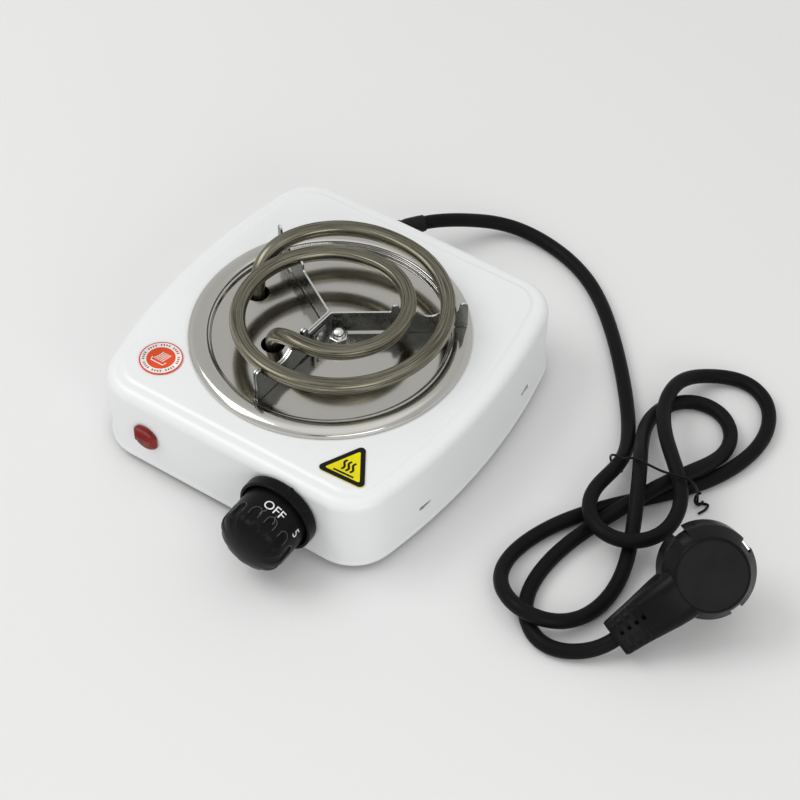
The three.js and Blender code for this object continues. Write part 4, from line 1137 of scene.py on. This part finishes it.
def add_caution_label():
    centre = middle_in_appliance("caution_label")
    place = APPLIANCE @ Matrix.Translation((centre.x, centre.y, 0))
    film = prism(bmesh.new(), circle(9.6, 72), FILM_Z, FILM_TOP)
    finish_piece("caution_film", film, "caution_film", ["caution_label"], place=place, sharp=40)
    ink = printed_frame(circle(9.0, 72), circle(6.4, 72))
    for k in range(5):  # warm air rising from a plate
        stroke = [(-2.7 + 1.1 * k, -1.6), (-1.5 + 1.1 * k, 0.9 + 0.6 * k), (-1.1 + 1.0 * k, 3.4)]
        ribbon(ink, stroke, 0.42, FILM_TOP)
    ribbon(ink, [(-3.6, -1.2), (-3.2, -3.0), (3.2, -3.0), (3.6, -1.2)], 0.5, FILM_TOP)
    finish_piece("caution_print", ink, "caution_film", place=place, material=WHITE_INK, weighted=False)
    dashes = bmesh.new()
    for k in range(40):
        if k % 10 in (0, 5):
            continue
        u = pointing(9 * k)
        v = np.array([-u[1], u[0]]) * 0.28
        a, b = u * 7.2, u * 8.2
        corners = [a - v, b - v, b + v, a + v]
        prism(dashes, [tuple(c) for c in corners], FILM_TOP + INK, FILM_TOP + 2 * INK)
    finish_piece("caution_dashes", dashes, "caution_film", place=place, material=RED_INK, weighted=False)


# ---- strain relief, lead and plug


def relief_line(distance):
    """The middle of the strain relief at a distance along its bend."""
    turn = distance / RELIEF_BEND
    return np.array([RELIEF_BEND * (1 - math.cos(turn)), 0, RELIEF_BEND * math.sin(turn)])


def add_relief():
    collar = [(0, -5), (7.4, -5), (7.4, -1.3), (5.3, -1.3), (5.3, GAP), (8, GAP), (8, 1.9), (7, 3), (0, 3)]
    flange = lathe(rounded(collar, 0.4, 3), 64)
    stations = [(5.5, 1.5)]
    for i in range(3):
        start = 3.5 + i * 4.3
        radius = 6.6 - 0.5 * i
        rib = [(-1, -0.2), (0, 0), (-0.3, 2.7), (-1, 2.9)]
        stations += rounded([(radius + out, start + along) for out, along in rib], 0.4, 3)
    stations += [(4.7, 17.5), (4.4, 20.0), (4.1, 23.0), (3.9, RELIEF_LENGTH)]
    rings = []
    for radius, distance in stations:
        centre = relief_line(distance)
        turn = distance / RELIEF_BEND
        side = np.array([math.cos(turn), 0, -math.sin(turn)])
        rings.append([centre + a * side + b * np.array([0, 1, 0]) for a, b in circle(radius, 48)])
    skin(flange, rings)
    finish_piece(
        "ribbed_strain_relief", flange, "black_rubber", ["strain_relief"], place=ENTRY_FRAME, sharp=45
    )


def add_cord():
    curve = bpy.data.curves.new("mains_lead", "CURVE")
    curve.dimensions = "3D"
    curve.bevel_depth = CORD_RADIUS * MM
    curve.bevel_resolution = 8
    curve.use_fill_caps = True
    spline = curve.splines.new("NURBS")
    spline.points.add(len(CORD_ROUTE) - 1)
    for point, (x, y, z) in zip(spline.points, CORD_ROUTE):
        point.co = (x * MM, y * MM, z * MM, 1)
    spline.order_u = 4
    spline.use_endpoint_u = True
    spline.resolution_u = 14
    lead = add_object("mains_lead", curve)
    curve.materials.append(FINISHES["cord_jacket"])
    settle(lead, "appliance", ["power_cord"])
    return lead


def neck_outline(x, width, z0, z1):
    corner = min(width, z1 - z0) * 0.3
    out = []
    for k, (sy, sz) in enumerate(((1, 1), (-1, 1), (-1, -1), (1, -1))):
        cy, cz = sy * (width / 2 - corner), (z0 + z1) / 2 + sz * ((z1 - z0) / 2 - corner)
        out += [(x, y, z) for y, z in arc(cy, cz, corner, 90 * k, 90 * k + 90, 8)]
    return out


def add_plug():
    side = [(0, 0), (PLUG_RADIUS - 0.8, 0), (PLUG_RADIUS, 0.8), (PLUG_RADIUS, PLUG_THICKNESS - 9)]
    back = [(PLUG_RADIUS - 4.5, PLUG_THICKNESS), (0, PLUG_THICKNESS)]
    disc = lathe(rounded(side + back, 1.2, 5), 128)
    necks = [
        (4, 23, 1, 23.9), (10, 22.6, 1.8, 23.9), (17, 22, 2.5, 23.6), (22, 21.2, 3.2, 22.8),
        (27, 20, 4, 21.4), (36, 17.8, 5.2, 19.2), (45.8, 15.9, 5.8, 18.2), (PLUG_NECK + 0.5, 15, 6.2, 17.8),
    ]
    neck = bmesh.new()
    skin(neck, [neck_outline(*ring) for ring in necks])
    grooves = bmesh.new()
    for i in range(4):
        x = PLUG_NECK - 3.4 - i * 3.6
        for low, high in ((0, NECK_HEIGHT - 3.5), (NECK_HEIGHT + 3.5, 24)):
            block(grooves, (x - 0.8, -12, low), (x + 0.8, -1, high))
            block(grooves, (x + 1.0, 1, low), (x + 2.6, 12, high))
    guides = bmesh.new()
    for side in (-1, 1):
        block(guides, (-2.5, side * 19.5 - 2.5, -1), (2.5, side * 19.5 + 2.5, PLUG_THICKNESS + 1))
    block(guides, (-21, -2.8, -1), (-17.4, 2.8, PLUG_THICKNESS + 1))
    block(guides, (17.6, -2.8, -1), (21, 2.8, 5))
    bm = carved(carved(disc, neck, operation="UNION"), grooves, guides)
    body = finish_piece("moulded_plug", bm, "black_plastic", ["plug_body"], place=PLUG_FRAME, sharp=35)
    bevel = body.modifiers.new("worn_edges", "BEVEL")
    bevel.width = 0.25 * MM
    bevel.segments = 2
    bevel.limit_method = "ANGLE"
    bevel.angle_limit = math.radians(40)
    pieces = [body]
    for side in (-1, 1):
        tip = [(0, -PIN_LENGTH), (1.5, -PIN_LENGTH), (PIN_RADIUS, -PIN_LENGTH + 1.3)]
        profile = rounded(tip + [(PIN_RADIUS, 5.7), (0, 5.7)], 0.5, 4)
        pin = lathe(profile, 40, (0, side * PIN_SPACING / 2))
        name = "left" if side < 0 else "right"
        node = "plug_pin_" + name
        made = finish_piece("nickel_pin_" + name, pin, "pin_nickel", [node], place=PLUG_FRAME, sharp=50)
        pieces.append(made)
    clips = {"rear": ((-19, -2.5, 0.2), (-17.7, 2.5, 15.6)), "neck": ((17.9, -2.5, 0.2), (19.4, 2.5, 4.7))}
    for name, (low, high) in clips.items():
        clip = soften(block(bmesh.new(), low, high), 0.3, 3)
        made = finish_piece(
            "earth_contact_" + name, clip, "pin_nickel", ["plug_earth_clip_" + name],
            place=PLUG_FRAME, material=STRIP_STEEL,
        )
        pieces.append(made)
    return pieces


# Plastic-coated wire round the gathered strands, in millimetres of the frame.
TIE_ROUTE = [
    (132.5, 46.5, 4.8), (127, 47.2, 5.8), (125.8, 46.8, 10.5), (128.3, 45.6, 14.2), (133, 44.8, 15.6),
    (137.2, 44.4, 19.3), (141.6, 43.6, 21.4), (147, 42.4, 22.6), (153, 42.4, 22.8), (158.6, 43.4, 22.9),
    (163.6, 45.6, 21.6), (166.3, 48.2, 16.5), (167, 50.6, 9.5), (166.9, 52, 4), (167.2, 52, 1.4),
    (169, 53.4, 0.9), (171.2, 54, 0.9), (171.6, 51.5, 0.9), (170.2, 47.4, 0.9),
]


def add_tie():
    line = smooth_line(TIE_ROUTE, 320)
    ring = circle(TIE_RADIUS, 16)
    bm = tube_along(line, lambda tangent: ring)
    start = next(k for k, p in enumerate(line) if p[0] > 166.5 and p[2] < 10)
    around = []  # the other end of the wire, twisted round this one
    for k in range(start, len(line) - 60):
        turn = 0.16 * (k - start)
        aside = np.array([math.cos(turn), math.sin(turn), 0.25 * math.sin(turn)]) * 1.15
        around.append(line[k] + aside + (0, 0, 0.35))
    tube_along(around, lambda tangent: ring, bm=bm)
    finish_piece("twisted_tie", bm, "black_plastic", ["twist_tie"], place=WORLD, sharp=60, weighted=False)


# ---- the carried-over CAD nodes and the floor


def dress_cad_nodes():
    for name, obj in frame["nodes"].items():
        for material_slot in obj.material_slots:
            material_slot.material = FINISHES[SLOT_OF_NODE[name]]


def add_floor():
    bm = bmesh.new()
    half = 3.0
    corners = [bm.verts.new((x * half, y * half, 0)) for x, y in ((-1, -1), (1, -1), (1, 1), (-1, 1))]
    bm.faces.new(corners)
    floor = add_object("floor", mesh_of(bm, "floor"))
    floor.data.materials.append(FLOOR_PAPER)


lead = add_cord()
plug_pieces = add_plug()
dress_cad_nodes()
add_housing()
add_pan()
add_coil()
add_strip("bent_strip_right", "support_strip_right", ARM_RIGHT, 1)
add_strip("bent_strip_left", "support_strip_left", ARM_LEFT, -1)
add_hub()
add_bezel()
add_knob()
add_knob_print_and_highlights()
add_lens()
add_feet()
add_triangle_label()
add_caution_label()
add_relief()
add_tie()
add_floor()
